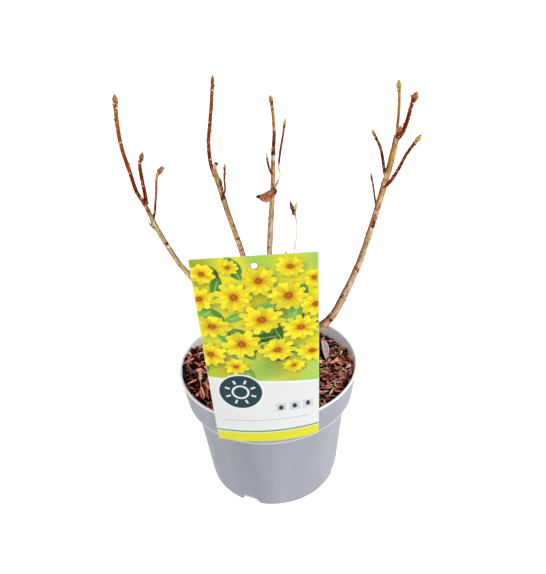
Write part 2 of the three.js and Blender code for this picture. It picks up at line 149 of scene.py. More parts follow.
def spoke(across, up, angle):
    """The direction at an angle between two others that are square to each other."""
    return across * math.cos(angle) + up * math.sin(angle)


def sheet(rows, columns):
    """A grid's places: 0 to 1 from row to row, and -1 to 1 across each row."""
    return [(i / (rows - 1), j / (columns - 1) * 2 - 1) for i in range(rows) for j in range(columns)]


# Materials

# Places of the Mix node's colour sockets
MIX_FACTOR, MIX_A, MIX_B, MIX_RESULT = 0, 6, 7, 2


class Nodes:
    """A material's nodes, with its Principled shader to hand."""

    def __init__(self, name, roughness, specular=0.5):
        self.material = bpy.data.materials.new(name)
        self.material.use_nodes = True
        self.tree = self.material.node_tree
        self.shader = self.tree.nodes["Principled BSDF"]
        self.shader.inputs["Roughness"].default_value = roughness
        self.shader.inputs["Specular IOR Level"].default_value = specular

    def node(self, kind, inputs=None, **settings):
        made = self.tree.nodes.new(kind)
        for key, value in settings.items():
            setattr(made, key, value)
        for key, value in (inputs or {}).items():
            if isinstance(value, bpy.types.NodeSocket):
                self.tree.links.new(value, made.inputs[key])
            else:
                made.inputs[key].default_value = value
        return made

    def tint(self):
        """The colour painted at each vertex."""
        return self.node("ShaderNodeAttribute", attribute_name="tint").outputs["Color"]

    def grain(self):
        """The coordinate kept at each vertex, which runs along the piece."""
        return self.node("ShaderNodeAttribute", attribute_name="grain").outputs["Vector"]

    def place(self):
        return self.node("ShaderNodeTexCoord").outputs["Object"]

    def noise(self, vector, scale, detail=4.0, roughness=0.6, stretch=None):
        if stretch:
            vector = self.node("ShaderNodeMapping", {"Vector": vector, "Scale": stretch}).outputs[0]
        inputs = {"Vector": vector, "Scale": scale, "Detail": detail, "Roughness": roughness}
        return self.node("ShaderNodeTexNoise", inputs).outputs["Fac"]

    def between(self, value, low, high, to_low=0.0, to_high=1.0):
        inputs = {"Value": value, "From Min": low, "From Max": high, "To Min": to_low, "To Max": to_high}
        return self.node("ShaderNodeMapRange", inputs).outputs[0]

    def times(self, a, b):
        return self.node("ShaderNodeMath", {0: a, 1: b}, operation="MULTIPLY").outputs[0]

    def blend(self, factor, a, b, kind="MIX"):
        """One colour over another. Each is a socket or a hex colour."""
        a, b = ((*linear(colour), 1) if isinstance(colour, str) else colour for colour in (a, b))
        inputs = {MIX_FACTOR: factor, MIX_A: a, MIX_B: b}
        return self.node("ShaderNodeMix", inputs, data_type="RGBA", blend_type=kind).outputs[MIX_RESULT]

    def shade(self, colour, amount):
        """The colour made darker or brighter by a grey amount."""
        grey = self.node("ShaderNodeCombineColor", {0: amount, 1: amount, 2: amount}).outputs[0]
        return self.blend(1.0, colour, grey, "MULTIPLY")

    def bump(self, height, distance, strength=1.0, onto=None):
        inputs = {"Height": height, "Distance": distance, "Strength": strength}
        if onto:
            inputs["Normal"] = onto
        return self.node("ShaderNodeBump", inputs).outputs[0]

    def finish(self, colour, normal, roughness=None):
        """Links what the shader takes from the nodes, and gives the material."""
        for source, key in ((colour, "Base Color"), (normal, "Normal"), (roughness, "Roughness")):
            if source is not None:
                self.tree.links.new(source, self.shader.inputs[key])
        return self.material


def bark_material():
    """Bark: the colour painted at each vertex, with fine fissures that run along the stem."""
    made = Nodes("bark", 0.8, 0.06)
    grain = made.grain()
    fissures = made.noise(grain, 900, 5, 0.65, (1, 0.13, 1))
    specks = made.noise(grain, 620, 3, 0.5, (1, 0.55, 1))
    shaded = made.shade(made.tint(), made.between(fissures, 0.36, 0.62, 0.5, 1.3))
    spotted = made.blend(made.between(specks, 0.62, 0.7, 0.0, 0.6), shaded, "2c0a02")
    rough = made.between(fissures, 0.3, 0.7, 0.9, 0.65)
    return made.finish(spotted, made.bump(fissures, 0.0003, 0.9), rough)


def bud_material():
    """Bud scales: smooth, slightly waxy, finely lined from base to tip."""
    made = Nodes("bud_scales", 0.5, 0.25)
    lines = made.noise(made.grain(), 1500, 3, 0.6, (1, 0.2, 1))
    lined = made.blend(made.between(lines, 0.35, 0.7, 0.0, 0.35), made.tint(), "5a2e14")
    return made.finish(lined, made.bump(lines, 0.0001, 0.6))


def chip_material():
    """Bark chips: a painted colour for each chip, with torn fibres along it and dark crumbs scattered over
    it.
    """
    made = Nodes("bark_chips", 0.65, 0.06)
    fibres = made.noise(made.grain(), 520, 5, 0.7, (0.22, 1.5, 1))
    dust = made.noise(made.place(), 260, 4, 0.65)
    shaded = made.shade(made.tint(), made.between(fibres, 0.38, 0.62, 0.2, 1.9))
    dusty = made.blend(made.between(dust, 0.56, 0.7, 0.0, 0.75), shaded, "1c0401")
    return made.finish(dusty, made.bump(fibres, 0.0007), made.between(fibres, 0.3, 0.7, 0.85, 0.4))


def peat_material():
    made = Nodes("peat", 0.95, 0.2)
    crumbs = made.noise(made.place(), 420, 6, 0.7)
    crumbly = made.blend(made.between(crumbs, 0.35, 0.65), "1c110c", "47301f")
    return made.finish(crumbly, made.bump(crumbs, 0.0012))


def pot_material():
    """Grey recycled plastic: faint flow marks, a fine satin grain, and painted light: a highlight along the
    collar's edge, a white lip (wear and a painted highlight, strongest at the front) and a near-white inner
    wall.
    """
    made = Nodes("pot_plastic", 0.5, 0.3)
    place = made.place()
    flow = made.noise(place, 30, 3, 0.55, (1, 1, 0.14))
    mottle = made.noise(place, 11, 4, 0.6)
    grain = made.noise(place, 1300, 3, 0.6)
    parts = made.node("ShaderNodeSeparateXYZ", {0: place}).outputs

    def step(value, low, high, to_low=0.0, to_high=1.0):
        """A ramp between two heights or distances in millimetres."""
        return made.between(value, low * MM, high * MM, to_low, to_high)

    base = made.blend(made.between(flow, 0.35, 0.66), "868891", "9396a0")
    base = made.blend(made.between(mottle, 0.4, 0.7, 0.0, 0.35), base, "a2a4ac")
    # Painted highlight: a pale band along the collar's lower edge, where the edge catches the light.
    edge = step(parts[2], COLLAR_BOTTOM - 1.2, COLLAR_BOTTOM + 0.4)
    past = step(parts[2], COLLAR_BOTTOM + 1.0, COLLAR_BOTTOM + 2.4, 1.0, 0.0)
    base = made.blend(made.times(made.times(edge, past), 0.55), base, "d4d5da")
    flat = made.node("ShaderNodeMapping", {"Vector": place, "Scale": (1, 1, 0)}).outputs[0]
    away = made.node("ShaderNodeVectorMath", {0: flat}, operation="LENGTH").outputs["Value"]
    slope = {0: parts[2], 1: -COLLAR_SLOPE, 2: away}
    upright = made.node("ShaderNodeMath", slope, operation="MULTIPLY_ADD").outputs[0]
    # Painted light: the upper inner wall is painted near white, as if lit by light falling into the pot.
    within = step(upright, INNER_FACE + 0.4, INNER_FACE + 1.4, 1.0, 0.0)
    inner = made.times(within, step(parts[2], COLLAR_BOTTOM + 2, COLLAR_BOTTOM + 4))
    base = made.blend(inner, base, "f2f5ff")
    # The lip painted white, strongest at the front and fading towards the back: partly wear, partly a
    # painted highlight.
    top = step(parts[2], POT_HEIGHT - 1.8, POT_HEIGHT - 0.7)
    lip_wear_and_highlight = made.times(top, step(parts[1], 0.0, 45.0, 1.0, 0.3))
    fine = made.bump(grain, 0.00008, 0.5)
    rough = made.between(mottle, 0.3, 0.7, 0.44, 0.58)
    return made.finish(made.blend(lip_wear_and_highlight, base, "ffffff"), made.bump(flow, 0.0006, 0.35, fine), rough)


def print_material():
    """The label's printed face: the painted design under a thin satin varnish."""
    made = Nodes("label_print", 0.45, 0.16)
    place = made.place()
    speckled = made.shade(made.tint(), made.between(made.noise(place, 900, 3, 0.6), 0.35, 0.65, 0.95, 1.05))
    return made.finish(speckled, made.bump(made.noise(place, 45, 2, 0.5), 0.0004, 0.2))


def card_material():
    made = Nodes("label_card", 0.5, 0.3)
    grain = made.noise(made.place(), 700, 4, 0.6)
    clouded = made.blend(made.between(grain, 0.35, 0.7), "dcdedd", "e6e7e6")
    return made.finish(clouded, made.bump(grain, 0.00006, 0.6))


def leaf_material(name, roughness):
    """A dry leaf: painted colour, fine veins and a papery surface."""
    made = Nodes(name, roughness, 0.15)
    place = made.place()
    inputs = {"Vector": place, "Scale": 700.0}
    cells = made.node("ShaderNodeTexVoronoi", inputs, feature="DISTANCE_TO_EDGE").outputs[0]
    mottle = made.noise(place, 260, 4, 0.6)
    mottled = made.blend(made.between(mottle, 0.4, 0.7, 0.0, 0.5), made.tint(), "2a120a")
    return made.finish(mottled, made.bump(cells, 0.0004, 0.6))


def floor_material():
    made = Nodes("floor", 0.9, 0.2)
    made.shader.inputs["Emission Color"].default_value = (1, 1, 1, 1)
    made.shader.inputs["Emission Strength"].default_value = FLOOR_GLOW
    return made.finish(made.blend(made.noise(made.place(), 3, 2, 0.5), "fbfbfb", "fdfdfd"), None)


# Mesh building


def put(name, data):
    """A new object in the scene."""
    made = bpy.data.objects.new(name, data)
    bpy.context.scene.collection.objects.link(made)
    return made


class Skin:
    """Collects the surface of one piece, with a colour and a grain coordinate at each vertex."""

    def __init__(self):
        self.points, self.tints, self.grains, self.faces, self.slots = [], [], [], [], []
        self.count = 0

    def add(self, points, tints, faces, grains=None, slot=0):
        points = np.asarray(points, float).reshape(-1, 3)
        self.points.append(points)
        self.tints.append(np.broadcast_to(np.asarray(tints, float), points.shape))
        self.grains.append(points if grains is None else np.asarray(grains, float).reshape(-1, 3))
        self.faces.extend([tuple(i + self.count for i in face) for face in faces])
        self.slots.extend([slot] * len(faces))
        self.count += len(points)

    def build(self, name, materials, nodes, rounded=True):
        mesh = bpy.data.meshes.new(name)
        points = np.vstack(self.points) * MM
        mesh.from_pydata(points.tolist(), [], self.faces)
        tints = np.ones((len(points), 4))
        tints[:, :3] = np.clip(np.vstack(self.tints), 0, 1)
        mesh.attributes.new("tint", "FLOAT_COLOR", "POINT").data.foreach_set("color", tints.ravel())
        grains = np.vstack(self.grains) * MM
        mesh.attributes.new("grain", "FLOAT_VECTOR", "POINT").data.foreach_set("vector", grains.ravel())
        for material in materials:
            mesh.materials.append(material)
        mesh.polygons.foreach_set("material_index", self.slots)
        if rounded:
            mesh.shade_smooth()
        mesh.update()
        piece = put(name, mesh)
        if nodes:
            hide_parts(*nodes)
        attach(piece, "root")
        return piece


def grid_faces(rows, columns, closed=False):
    """Quads of a grid of rows x columns points. A closed grid joins its last column to its first."""
    faces = []
    span = columns if closed else columns - 1
    for i in range(rows - 1):
        for j in range(span):
            k = (j + 1) % columns
            faces.append((i * columns + j, i * columns + k, (i + 1) * columns + k, (i + 1) * columns + j))
    return faces


def capped_faces(rows, sides):
    """A closed grid, and a fan from its last row to one more point."""
    last = (rows - 1) * sides
    fan = [(last + j, last + (j + 1) % sides, rows * sides) for j in range(sides)]
    return grid_faces(rows, sides, closed=True) + fan


def resample(points, step):
    """Even stations along a smooth curve through (x, y, z, radius) points, and their distance along it."""
    known = np.array(points, float)
    if len(known) == 2:
        known = np.vstack([known[0], known.mean(axis=0), known[1]])
    padded = np.vstack([2 * known[0] - known[1], known, 2 * known[-1] - known[-2]])
    t = np.linspace(0, 1, 20, endpoint=False)[:, None]
    spans = []
    for a, b, c, d in zip(padded, padded[1:], padded[2:], padded[3:]):
        bend = (2 * a - 5 * b + 4 * c - d) * t**2
        sway = (3 * b - a - 3 * c + d) * t**3
        spans.append(0.5 * (2 * b + (c - a) * t + bend + sway))
    fine = np.vstack([*spans, known[-1:]])
    run = np.concatenate([[0], np.cumsum(np.linalg.norm(np.diff(fine[:, :3], axis=0), axis=1))])
    along = np.linspace(0, run[-1], max(5, round(run[-1] / step) + 1))
    return np.column_stack([np.interp(along, run, fine[:, k]) for k in range(4)]), along


def moving_frame(path):
    """Tangent, normal and binormal at each station, turning as little as possible along the way."""
    tangents = np.gradient(path, axis=0)
    tangents /= np.linalg.norm(tangents, axis=1)[:, None]
    normals = np.zeros_like(tangents)
    side = np.cross(tangents[0], (0.3, 1.0, 0.1))
    for i, tangent in enumerate(tangents):
        side = unit(side - tangent * side.dot(tangent))
        normals[i] = side
    return tangents, normals, np.cross(tangents, normals)


def thicken(piece, thickness):
    shell = piece.modifiers.new("thickness", "SOLIDIFY")
    shell.thickness, shell.offset = thickness * MM, 0.0


# Stems

# The colours of the bark: places from a shoot's foot, 0, to its tip, 1, and the colours there
WOODS = {
    "old_left": ((0, 0.45, 0.7, 0.9, 0.94, 1), "b08a64 ccae88 c6a878 b8a06a a87444 7a2c14"),
    "old_centre_left": ((0, 0.5, 0.75, 0.9, 1), "b08a64 d0ac84 caa674 bc9450 b8863e"),
    "old_centre": ((0, 0.5, 0.7, 0.88, 0.96, 1), "b08a64 cca67c cea886 c89e68 c08844 d8a890"),
    "old_right": (
        (0, 0.28, 0.45, 0.62, 0.72, 0.85, 0.93, 0.985, 1),
        "a87850 cc9c7c d4b294 c8a67c cca26a c49248 c88e34 c08a34 d8b8a8",
    ),
    "red": ((0, 0.1, 0.5, 1), "9a5030 761a00 6e1600 7c2a00"),
    "red_long": ((0, 0.12, 0.45, 0.75, 1), "7c2c10 681600 7c3000 904a00 945400"),
    "brown": ((0, 0.15, 0.6, 1), "a8743c 742400 843800 904c00"),
    "half_tan": (
        (0, 0.05, 0.46, 0.5, 0.55, 0.8, 0.9, 1),
        "5a1400 5a1400 6a2404 d8a890 b07a3c a86a30 7a3a10 8a4818",
    ),
    "ochre": ((0, 0.24, 0.3, 0.7, 1), "dcc0b0 d4b098 ac7838 b48846 a06c34"),
    "pale": ((0, 0.4, 0.8, 0.95, 1), "c7b3a0 e0d8d2 f2eeee e0dcc8 a8a450"),
    "two_tone": ((0, 0.16, 0.2, 0.4, 0.46, 1), "8a7460 9c8874 e2dedb d8d0ca 682406 864416"),
    "tan": ((0, 0.3, 0.7, 1), "7c4020 6c2408 905428 ac8044"),
    "twiglet": ((0, 0.5, 1), "8a6a48 7a4430 a88a70"),
    "cut": ((0, 0.5, 0.62, 1), "b48850 b48850 d8bcc0 e0c8d0"),
}

# Bud palettes: base, body and edge of the scales, and the tip
BUDS = {
    "orange": "6e2c12 c8793c 8a4018 9c9a94",
    "red": "5a1e12 b4542c 742c18 b4a498",
    "tan": "6a3c20 c49a62 8a5a2e b0946a",
    "green": "5e3010 d0b458 94842e b4b07c",
    "rust": "5e1404 cc7434 8a2e08 e4bc9c",
    "grey": "5c4436 a58a72 6a5240 8a8078",
    "olive": "4a2410 a8783c 5c3a18 a8a08c",
    "dark": "3c1208 7c3c1c 4c1a0c 8a6a50",
    "pale": "8a6a48 ecdcbc b09460 d8ccb4",
    "lime": "8a8440 ece4a8 b8a858 ece8d8",
}


def limb(wood, bud, *path, spread=1.0, **more):
    """A stem or shoot: its bark's colours, its bud's length, radius and palette, and its path."""
    return {"wood": wood, "bud": bud, "path": path, "spread": spread, **more}


# Each stem, then its side shoots. A path is (x, y, z, radius) from a limb's foot to its tip.
STEMS = {
    "stem_left": [
        limb("old_left", None, (-11, 2, 100, 3), (-13, 2, 112, 3), (-24, 0, 138, 2.9),
            (-37, -3, 168, 2.7), (-50, -6, 199, 2.5), (-62, -9, 225, 2.2), (-69.5, -11, 239, 2.1),
            (-77, -14, 259, 2), (-83, -16, 277, 1.9), (-86, -18, 290, 1.7), (-89, -19, 299, 1.4)),
        limb("red_long", (6.2, 1.9, "orange"), (-87.2, -18.5, 295, 1.5), (-91.3, -20, 305, 1.5),
            (-93, -22, 321, 1.5), (-95, -23, 336, 1.5), (-95.3, -24, 350.5, 1.5), (-94.2, -24, 365, 1.45),
            (-93.5, -24, 370.5, 1.5)),
        limb("red", (6, 1.75, "olive"), (-86, -17.5, 293.5, 1.5), (-86.5, -15, 302, 1.5),
            (-88.3, -9, 314, 1.45), (-88.8, -6, 321.5, 1.4), (-87.2, -5, 326, 1.4)),
        limb("tan", (8.4, 1.9, "olive"), (-83.2, -16, 281, 1.05), (-80.1, -19, 288.5, 1),
            (-77.7, -22.5, 297, 0.95), (-75.3, -26, 305, 0.95), (-71.8, -31.5, 318, 0.95),
            (-69.2, -33.5, 322, 1.1), twin=True),
        limb("twiglet", None, (-82, -15.4, 271, 0.75), (-85.4, -18.6, 276.5, 0.5),
            (-86.2, -20.5, 281.5, 0.35)),
        limb("twiglet", None, (-85, -18.2, 275.5, 0.5), (-84.4, -19.5, 280, 0.35)),
    ],
    "stem_centre_left": [
        limb("old_centre_left", None, (-2.5, 9.6, 100, 3.1), (-3, 10, 112, 3.1), (-6, 13, 150, 3),
            (-10, 17, 190, 2.8), (-17, 20, 228, 2.5), (-22.1, 24, 247, 2.4), (-27.2, 28, 265, 2.3),
            (-31.6, 32, 283, 2.4), (-35.2, 35, 297, 2.3), (-38, 36, 304, 1.6)),
        limb("brown", (7.4, 1.5, "red"), (-36.4, 35.5, 298, 1.75), (-38.9, 36, 309, 1.7),
            (-38.9, 37, 326, 1.65), (-36.4, 38, 340, 1.6), (-33.7, 39, 354.5, 1.5), (-31.5, 40, 368, 1.4),
            (-30.9, 40, 372, 1.4)),
        limb("cut", None, (-35.4, 35, 298, 2), (-36, 36, 304.6, 1.8), (-33.8, 34.6, 308.8, 1.7),
            stub=True),
        limb("red", (5.6, 1.25, "tan"), (-31.3, 31, 279, 1), (-28.6, 33.5, 286, 0.9),
            (-28.5, 37, 294, 0.9), (-27.7, 39.5, 302, 1)),
        limb("red", (7.5, 1.3, "dark"), (-31.6, 29.5, 278, 1.2), (-30.2, 26.4, 284, 1.15),
            (-30.8, 26.2, 292, 1.1)),
    ],
    "stem_centre": [
        limb("old_centre", None, (5, -4, 100, 3), (5, -4, 112, 3), (5, -5, 150, 2.9),
            (5.6, -5, 195, 2.8), (7.2, -4, 240, 2.4), (10, -3, 270, 2.2), (12.3, -2, 291, 1.9),
            (13.6, -2, 307, 1.75), (14.2, -2, 319, 1.7), (14.6, -2, 327, 1.5)),
        limb("half_tan", (5.4, 1.55, "orange"), (14.4, -2, 323, 1.5), (15, -2.4, 329, 1.5),
            (15.6, -3, 335, 1.4), (16, -4, 344, 1.3), (15.6, -5, 354, 1.2), (14.8, -6, 362.5, 1.2)),
        limb("two_tone", (6.4, 1.25, "green"), (13, -1, 294, 0.9), (16.6, 1, 299.5, 0.75),
            (19.4, 4, 305, 0.65), (18.4, 6, 311, 0.85), (20.9, 9, 325, 0.95), (22.7, 10, 333, 0.9),
            (24.4, 11, 341.5, 0.95)),
        limb("red", (5.8, 0.95, "pale"), (13.2, -2, 307, 1), (11.3, -5, 311.5, 0.95),
            (10, -8, 317.5, 0.9), (9.6, -9, 322, 0.9)),
    ],
    "stem_right": [
        limb("old_right", None, (17.5, 8.4, 100, 4.3), (18.2, 8.5, 109, 4.3), (27, 10, 128, 4.2),
            (39, 11, 141, 4.1), (52.6, 12, 151.7, 3.9), (64.4, 14, 163, 3.7), (74, 16, 181, 3.4),
            (85, 18, 205.5, 3), (91, 19, 222, 2.8), (96.5, 20, 241, 2.7), (100.5, 20, 256, 2.6),
            (106, 20, 279, 2.6), (110.2, 20, 297, 2.6), (113.1, 20, 311, 2.5), (115.5, 20, 327, 2.1)),
        limb("ochre", (6.8, 1.9, "green"), (115.2, 20, 322, 1.35), (115.8, 20, 336, 1.25),
            (115.7, 19, 346, 1.2), (115.2, 18, 355.5, 1.15), (114.1, 17, 364, 1.2)),
        limb("red", (8.4, 2.4, "rust"), (115.4, 20, 324, 1.9), (119.4, 23, 326.5, 1.9),
            (122.5, 25, 330.5, 1.8), (125.7, 28, 338, 1.7), (128.3, 31, 346, 1.6),
            (130.7, 33, 351.5, 1.7), spread=5),
        limb("red", (7, 1.5, "rust"), (115.3, 19, 326, 1.2), (116, 15, 331.5, 1.2)),
        limb("red", (6.4, 1.45, "tan"), (109.2, 20.5, 292, 1.45), (108, 24, 298, 1.35),
            (107, 29, 308, 1.3), (105.1, 33, 316.5, 1.2), (101.3, 36, 324.5, 1.15)),
        limb("red", (7.4, 1.85, "green"), (107.4, 19, 284.5, 1.5), (111.9, 14, 292, 1.5),
            (115.8, 8, 303, 1.4), (119.9, 3, 316, 1.3), (125.4, -2, 327, 1.35)),
        limb("red", (6.4, 1.1, "grey"), (102.6, 21, 266, 0.95), (101.4, 24.4, 273, 0.85),
            (100.2, 27, 282, 0.8), (99, 29, 289, 0.85)),
        limb("red", (9, 1.2, "rust"), (99.3, 18, 250, 1.3), (99.9, 15.6, 256, 1.15)),
    ],
    "twig_back": [
        limb("pale", None, (15.4, 24.4, 100, 1.1), (16, 25, 112, 1.1), (20, 30, 150, 1),
            (26, 36, 190, 0.85), (31, 40, 222, 0.75), (33.6, 43, 238, 0.7), (33.4, 45, 251, 0.7),
            (31.6, 46, 257, 0.9)),
        limb("red", (10.6, 1.7, "dark"), (31.8, 46, 254.5, 1.5), (30.8, 46.3, 258.4, 1.4)),
        limb("ochre", (9.6, 1.6, "lime"), (31.6, 46, 255, 1.4), (32.6, 45.7, 258.6, 1.3)),
    ],
    "twig_low": [
        limb("pale", (6.4, 1.4, "lime"), (3.4, 30.7, 100, 1.1), (4, 31, 112, 1.1), (12, 37, 160, 0.95),
            (19, 42, 200, 0.8), (22.2, 44, 213.5, 0.8)),
    ],
}

# Tints of the bark's details, the shade painted on its flanks, and how finely it is modelled
NODE_TINT = linear("d6b69a")
SCAR_TINT = linear("f4d8c0")
SPECK_TINT = linear("42200c")
LENTICEL_TINT = linear("f4ccb4")
GLOW_TINT = linear("b85c14")
BLEACHED_TINT = linear("e2c8a2")
PAINTED_FLANK_SHADE = np.array((0.36, 0.23, 0.14))
FINE_TWIG = 1.3
TUBE_STEP = 0.7
THICK_SIDES = 22
THIN_SIDES = 14
KNOT_SPACING = 22
OLD_SCAR_SPACING = 17
YOUNG_SCAR_SPACING = 8
SCAR_SIDES = 10
SCAR_RINGS = (1.0, 0.78, 0.4)
SCALES_ON_BUD = 15
SCALE_GRID = (6, 5)
TIP_SCARS = (1.1, 2.0, 2.9, 4.0, 5.2)

# Scars and stains on the old wood: height, place across the front from -1 to 1, half height,
# half width and colour
MARKS = {
    "stem_left": ((295.5, 0.2, 1.3, 0.7, "4a1006"), (292, -0.2, 0.7, 0.35, "f4d8cc"),
        (289, 0.2, 1.3, 0.6, "8a3a14"), (283, 0.45, 3.6, 0.6, "9a9a58"), (258.8, 0.4, 1.3, 0.6, "5a1006"),
        (255.6, 0.4, 1.1, 0.5, "f4dcc4")),
    "stem_centre_left": ((285, 0.3, 1.4, 0.6, "f0c8a0"), (279.5, 0, 1.5, 0.9, "4a1406"),
        (270.5, -0.8, 1.2, 0.4, "3a0c04"), (254.6, 0.7, 1.7, 0.4, "6a200c"),
        (245.8, 0, 2.2, 0.9, "d8a068"), (243.4, 0.2, 1, 0.5, "5a180a"), (240.8, -0.3, 1.5, 0.5, "f4ccb8"),
        (237.2, 0.3, 1.4, 0.4, "b87858"), (234, 0.6, 1, 0.3, "8a4028")),
    "stem_centre": ((320.5, 0, 2.6, 0.9, "f0dcd8"), (298, 0.1, 1.8, 0.8, "e8bca0"),
        (262, 0.2, 2.4, 0.8, "dcb09c"), (246, -0.3, 1, 0.4, "8a5030")),
    "stem_right": ((294.5, -0.6, 2.6, 0.7, "e0b494"), (287, 0.5, 2.2, 0.8, "e0b494"),
        (267.6, 0.3, 0.9, 0.35, "4a0c04"), (265.4, -0.3, 0.8, 0.3, "5a140a"),
        (262.8, 0, 2.2, 0.9, "e4b898"), (257.6, 0.3, 1.8, 0.45, "6a1406"),
        (247.4, 0.2, 1.3, 0.6, "f4ccbc"), (210.6, -0.4, 1, 0.3, "8a3820"),
        (208.8, 0.2, 1.1, 0.4, "6a200e"), (207.2, 0.6, 1, 0.3, "5a180c"),
        (183.4, -0.4, 0.8, 0.25, "64281a"), (181, -0.6, 1, 0.3, "5a2010"),
        (159.4, 0.1, 1.3, 0.4, "6a180a")),
}


def add_tube(skin, shoot, seed, old, marks):
    """A length of bark. Old wood has nodes, fissures and specks. Young wood is smooth, its foot ringed."""
    stations, along = resample(shoot["path"], TUBE_STEP)
    tangents, normals, binormals = moving_frame(stations[:, :3])
    rows, length = len(stations), along[-1]
    places, codes = WOODS[shoot["wood"]]
    wood = (places, linears(codes))
    stub = "stub" in shoot
    sides = THICK_SIDES if max(point[3] for point in shoot["path"]) > 2 else THIN_SIDES
    marks = [(*mark[:4], linear(mark[4])) for mark in marks]
    rng = random.Random(seed)
    count = int(length / KNOT_SPACING) if old else 0
    knots = [(rng.uniform(0, length), rng.uniform(0.04, 0.11)) for _ in range(count)]
    vertices, tints, grains = [], [], []
    for i in range(rows):
        centre, radius, t = stations[i, :3], stations[i, 3], along[i] / length
        swell = sum(size * math.exp(-(((along[i] - spot) / 1.5) ** 2)) for spot, size in knots)
        if not old:
            swell += 0.35 * math.exp(-along[i] / 1.6)
            swell += 0.07 * math.cos(along[i] * 5.2) * math.exp(-(((along[i] - 5) / 3.0) ** 2))
        swell += 0.22 * math.exp(-(length - along[i]) / 1.2) if stub or old else 0
        base = mix(ramp(*wood, t), NODE_TINT, min(0.75, swell * 3.0) if old else 0.0)
        for angle in turns(sides):
            across = Vector((*polar(1.1, angle), along[i] * 0.06 + seed))
            ridge = noise.noise(across * 1.9)
            blotch = noise.noise(Vector((across.x, across.y, along[i] * 0.16 + seed * 3)) * 1.6)
            fine = Vector((across.x * 2.2, across.y * 2.2, along[i] * 0.55 + seed * 5))
            speck = noise.noise(fine * 1.5)
            out = radius * (1 + swell + 0.07 * ridge + (0.05 * speck if old else 0.02 * speck))
            outward = spoke(normals[i], binormals[i], angle)
            vertices.append(centre + out * outward)
            tint = base * (1 + 0.35 * blotch)
            if old:
                tint = mix(tint, SPECK_TINT, smooth(0.32, 0.5, speck) * 0.8)
                tint = mix(tint, BLEACHED_TINT, smooth(0.05, 0.45, -blotch) * 0.6)
                # Painted shade: old bark is darkened where it faces left or right rather than front or
                # back.
                if radius > FINE_TWIG:
                    flank_shade = smooth(0.96 + 0.2 * ridge, 0.36, abs(outward[1]))
                    tint = tint * mix(1.0, PAINTED_FLANK_SHADE, flank_shade)
                for height, aside, tall, wide, colour in marks if outward[1] < 0.2 else ():
                    away = math.hypot((centre[2] - height) / tall, (outward[0] - aside) / wide)
                    tint = mix(tint, colour, smooth(1.3, 0.7, away))
            else:
                tint = mix(tint, GLOW_TINT, smooth(0.0, 0.5, blotch) * 0.35)
                tint = mix(tint, LENTICEL_TINT, smooth(0.44, 0.58, speck) * 0.75)
            tints.append(tint)
            grains.append((angle * radius, along[i], seed * 7.0))
    end = stations[-1, :3]
    if stub:
        vertices += [end + (corner - end) * 0.62 for corner in vertices[-sides:]]
        tints += [linear("2c1614")] * sides
        grains += grains[-sides:]
        rows += 1
    vertices.append(end + tangents[-1] * stations[-1, 3] * (-0.4 if stub else 0.5))
    tints.append(linear("1c0e0c") if stub else ramp(*wood, 1.0))
    grains.append((0, length, seed * 7.0))
    skin.add(vertices, tints, capped_faces(rows, sides), grains)
    return stations, along, tangents, normals, binormals


def add_scar(skin, centre, outward, up, size, seed):
    """A leaf scar: a cream oval with a dark rim, and the small bud that sits in its axil."""
    side = np.cross(up, outward)
    points, tints = [], []
    for k, ring in enumerate(SCAR_RINGS):
        for angle in turns(SCAR_SIDES):
            flat = side * math.cos(angle) * size * ring + up * math.sin(angle) * size * 0.8 * ring
            points.append(centre + flat + outward * (0.02 + 0.16 * k) * size)
            tints.append(linear("3c1a10") if k == 0 else SCAR_TINT)
    points.append(centre + outward * 0.3 * size)
    tints.append(SCAR_TINT)
    skin.add(points, tints, capped_faces(len(SCAR_RINGS), SCAR_SIDES), slot=1)
    direction = unit(up * 0.9 + outward * 0.45)
    add_bud(skin, centre + up * size * 0.8, direction, (size * 2.0, size * 0.62, "rust"), seed, 5)


def add_bud(skin, foot, direction, bud, seed, scales=SCALES_ON_BUD, spread=1.0):
    """A bud: a pointed core wrapped in overlapping scales on a spiral."""
    length, radius, palette = bud
    base, body, edge, tip = linears(BUDS[palette])
    rng = random.Random(seed)
    side = unit(np.cross(direction, (0.2, 0.9, 0.3)))
    other = np.cross(direction, side)

    def at(angle, height, out):
        return foot + direction * height + spoke(side, other, angle) * out

    def girth(h):
        """The bud's outline: round shoulders low down, drawn out to a point."""
        h = min(max(h, 0.0), 1.0)
        return radius * (0.5 + 0.5 * smooth(-0.05, 0.28, h)) * (1 - h**1.9) ** 0.85

    rows, sides = 9, 10
    points = []
    for h in (i / rows for i in range(rows)):
        points += [at(angle, h * length - 0.25, girth(h) * 0.9) for angle in turns(sides)]
    points.append(at(0, length, 0))
    skin.add(points, body * 0.6, capped_faces(rows, sides), slot=1)
    for n in range(scales):
        share = n / max(1, scales - 1)
        turn = n * GOLDEN + rng.uniform(-0.15, 0.15)
        low = share * 0.55
        reach = mix(0.42, 0.46, share) * rng.uniform(0.9, 1.1)
        wide = mix(1.25, 0.75, share)
        lift = rng.uniform(0.02, 0.14) * radius * (1.4 - share) * spread
        shell, colours, grains = [], [], []
        for s, q in sheet(*SCALE_GRID):
            height = low + reach * s
            angle = turn + q * wide * (1 - 0.93 * s**1.7)
            rim = 0.05 * radius * (1 - q * q)
            out = girth(height) * (1.02 + 0.1 * (1 - share)) + lift * s * s + rim
            shell.append(at(angle, height * length, out))
            tone = mix(base, body, smooth(0.0, 0.35, s))
            tone = mix(tone, edge, max(smooth(0.55, 1.0, abs(q)), smooth(0.72, 1.0, s)) * 0.75)
            tone = mix(tone, tip, smooth(0.64, 0.95, height) * 0.85)
            colours.append(tone * rng.uniform(0.88, 1.1) * mix(0.4, 1.0, smooth(0.02, 0.3, height)))
            grains.append((q * radius, height * length, n + seed))
        skin.add(shell, colours, grid_faces(*SCALE_GRID), grains, slot=1)


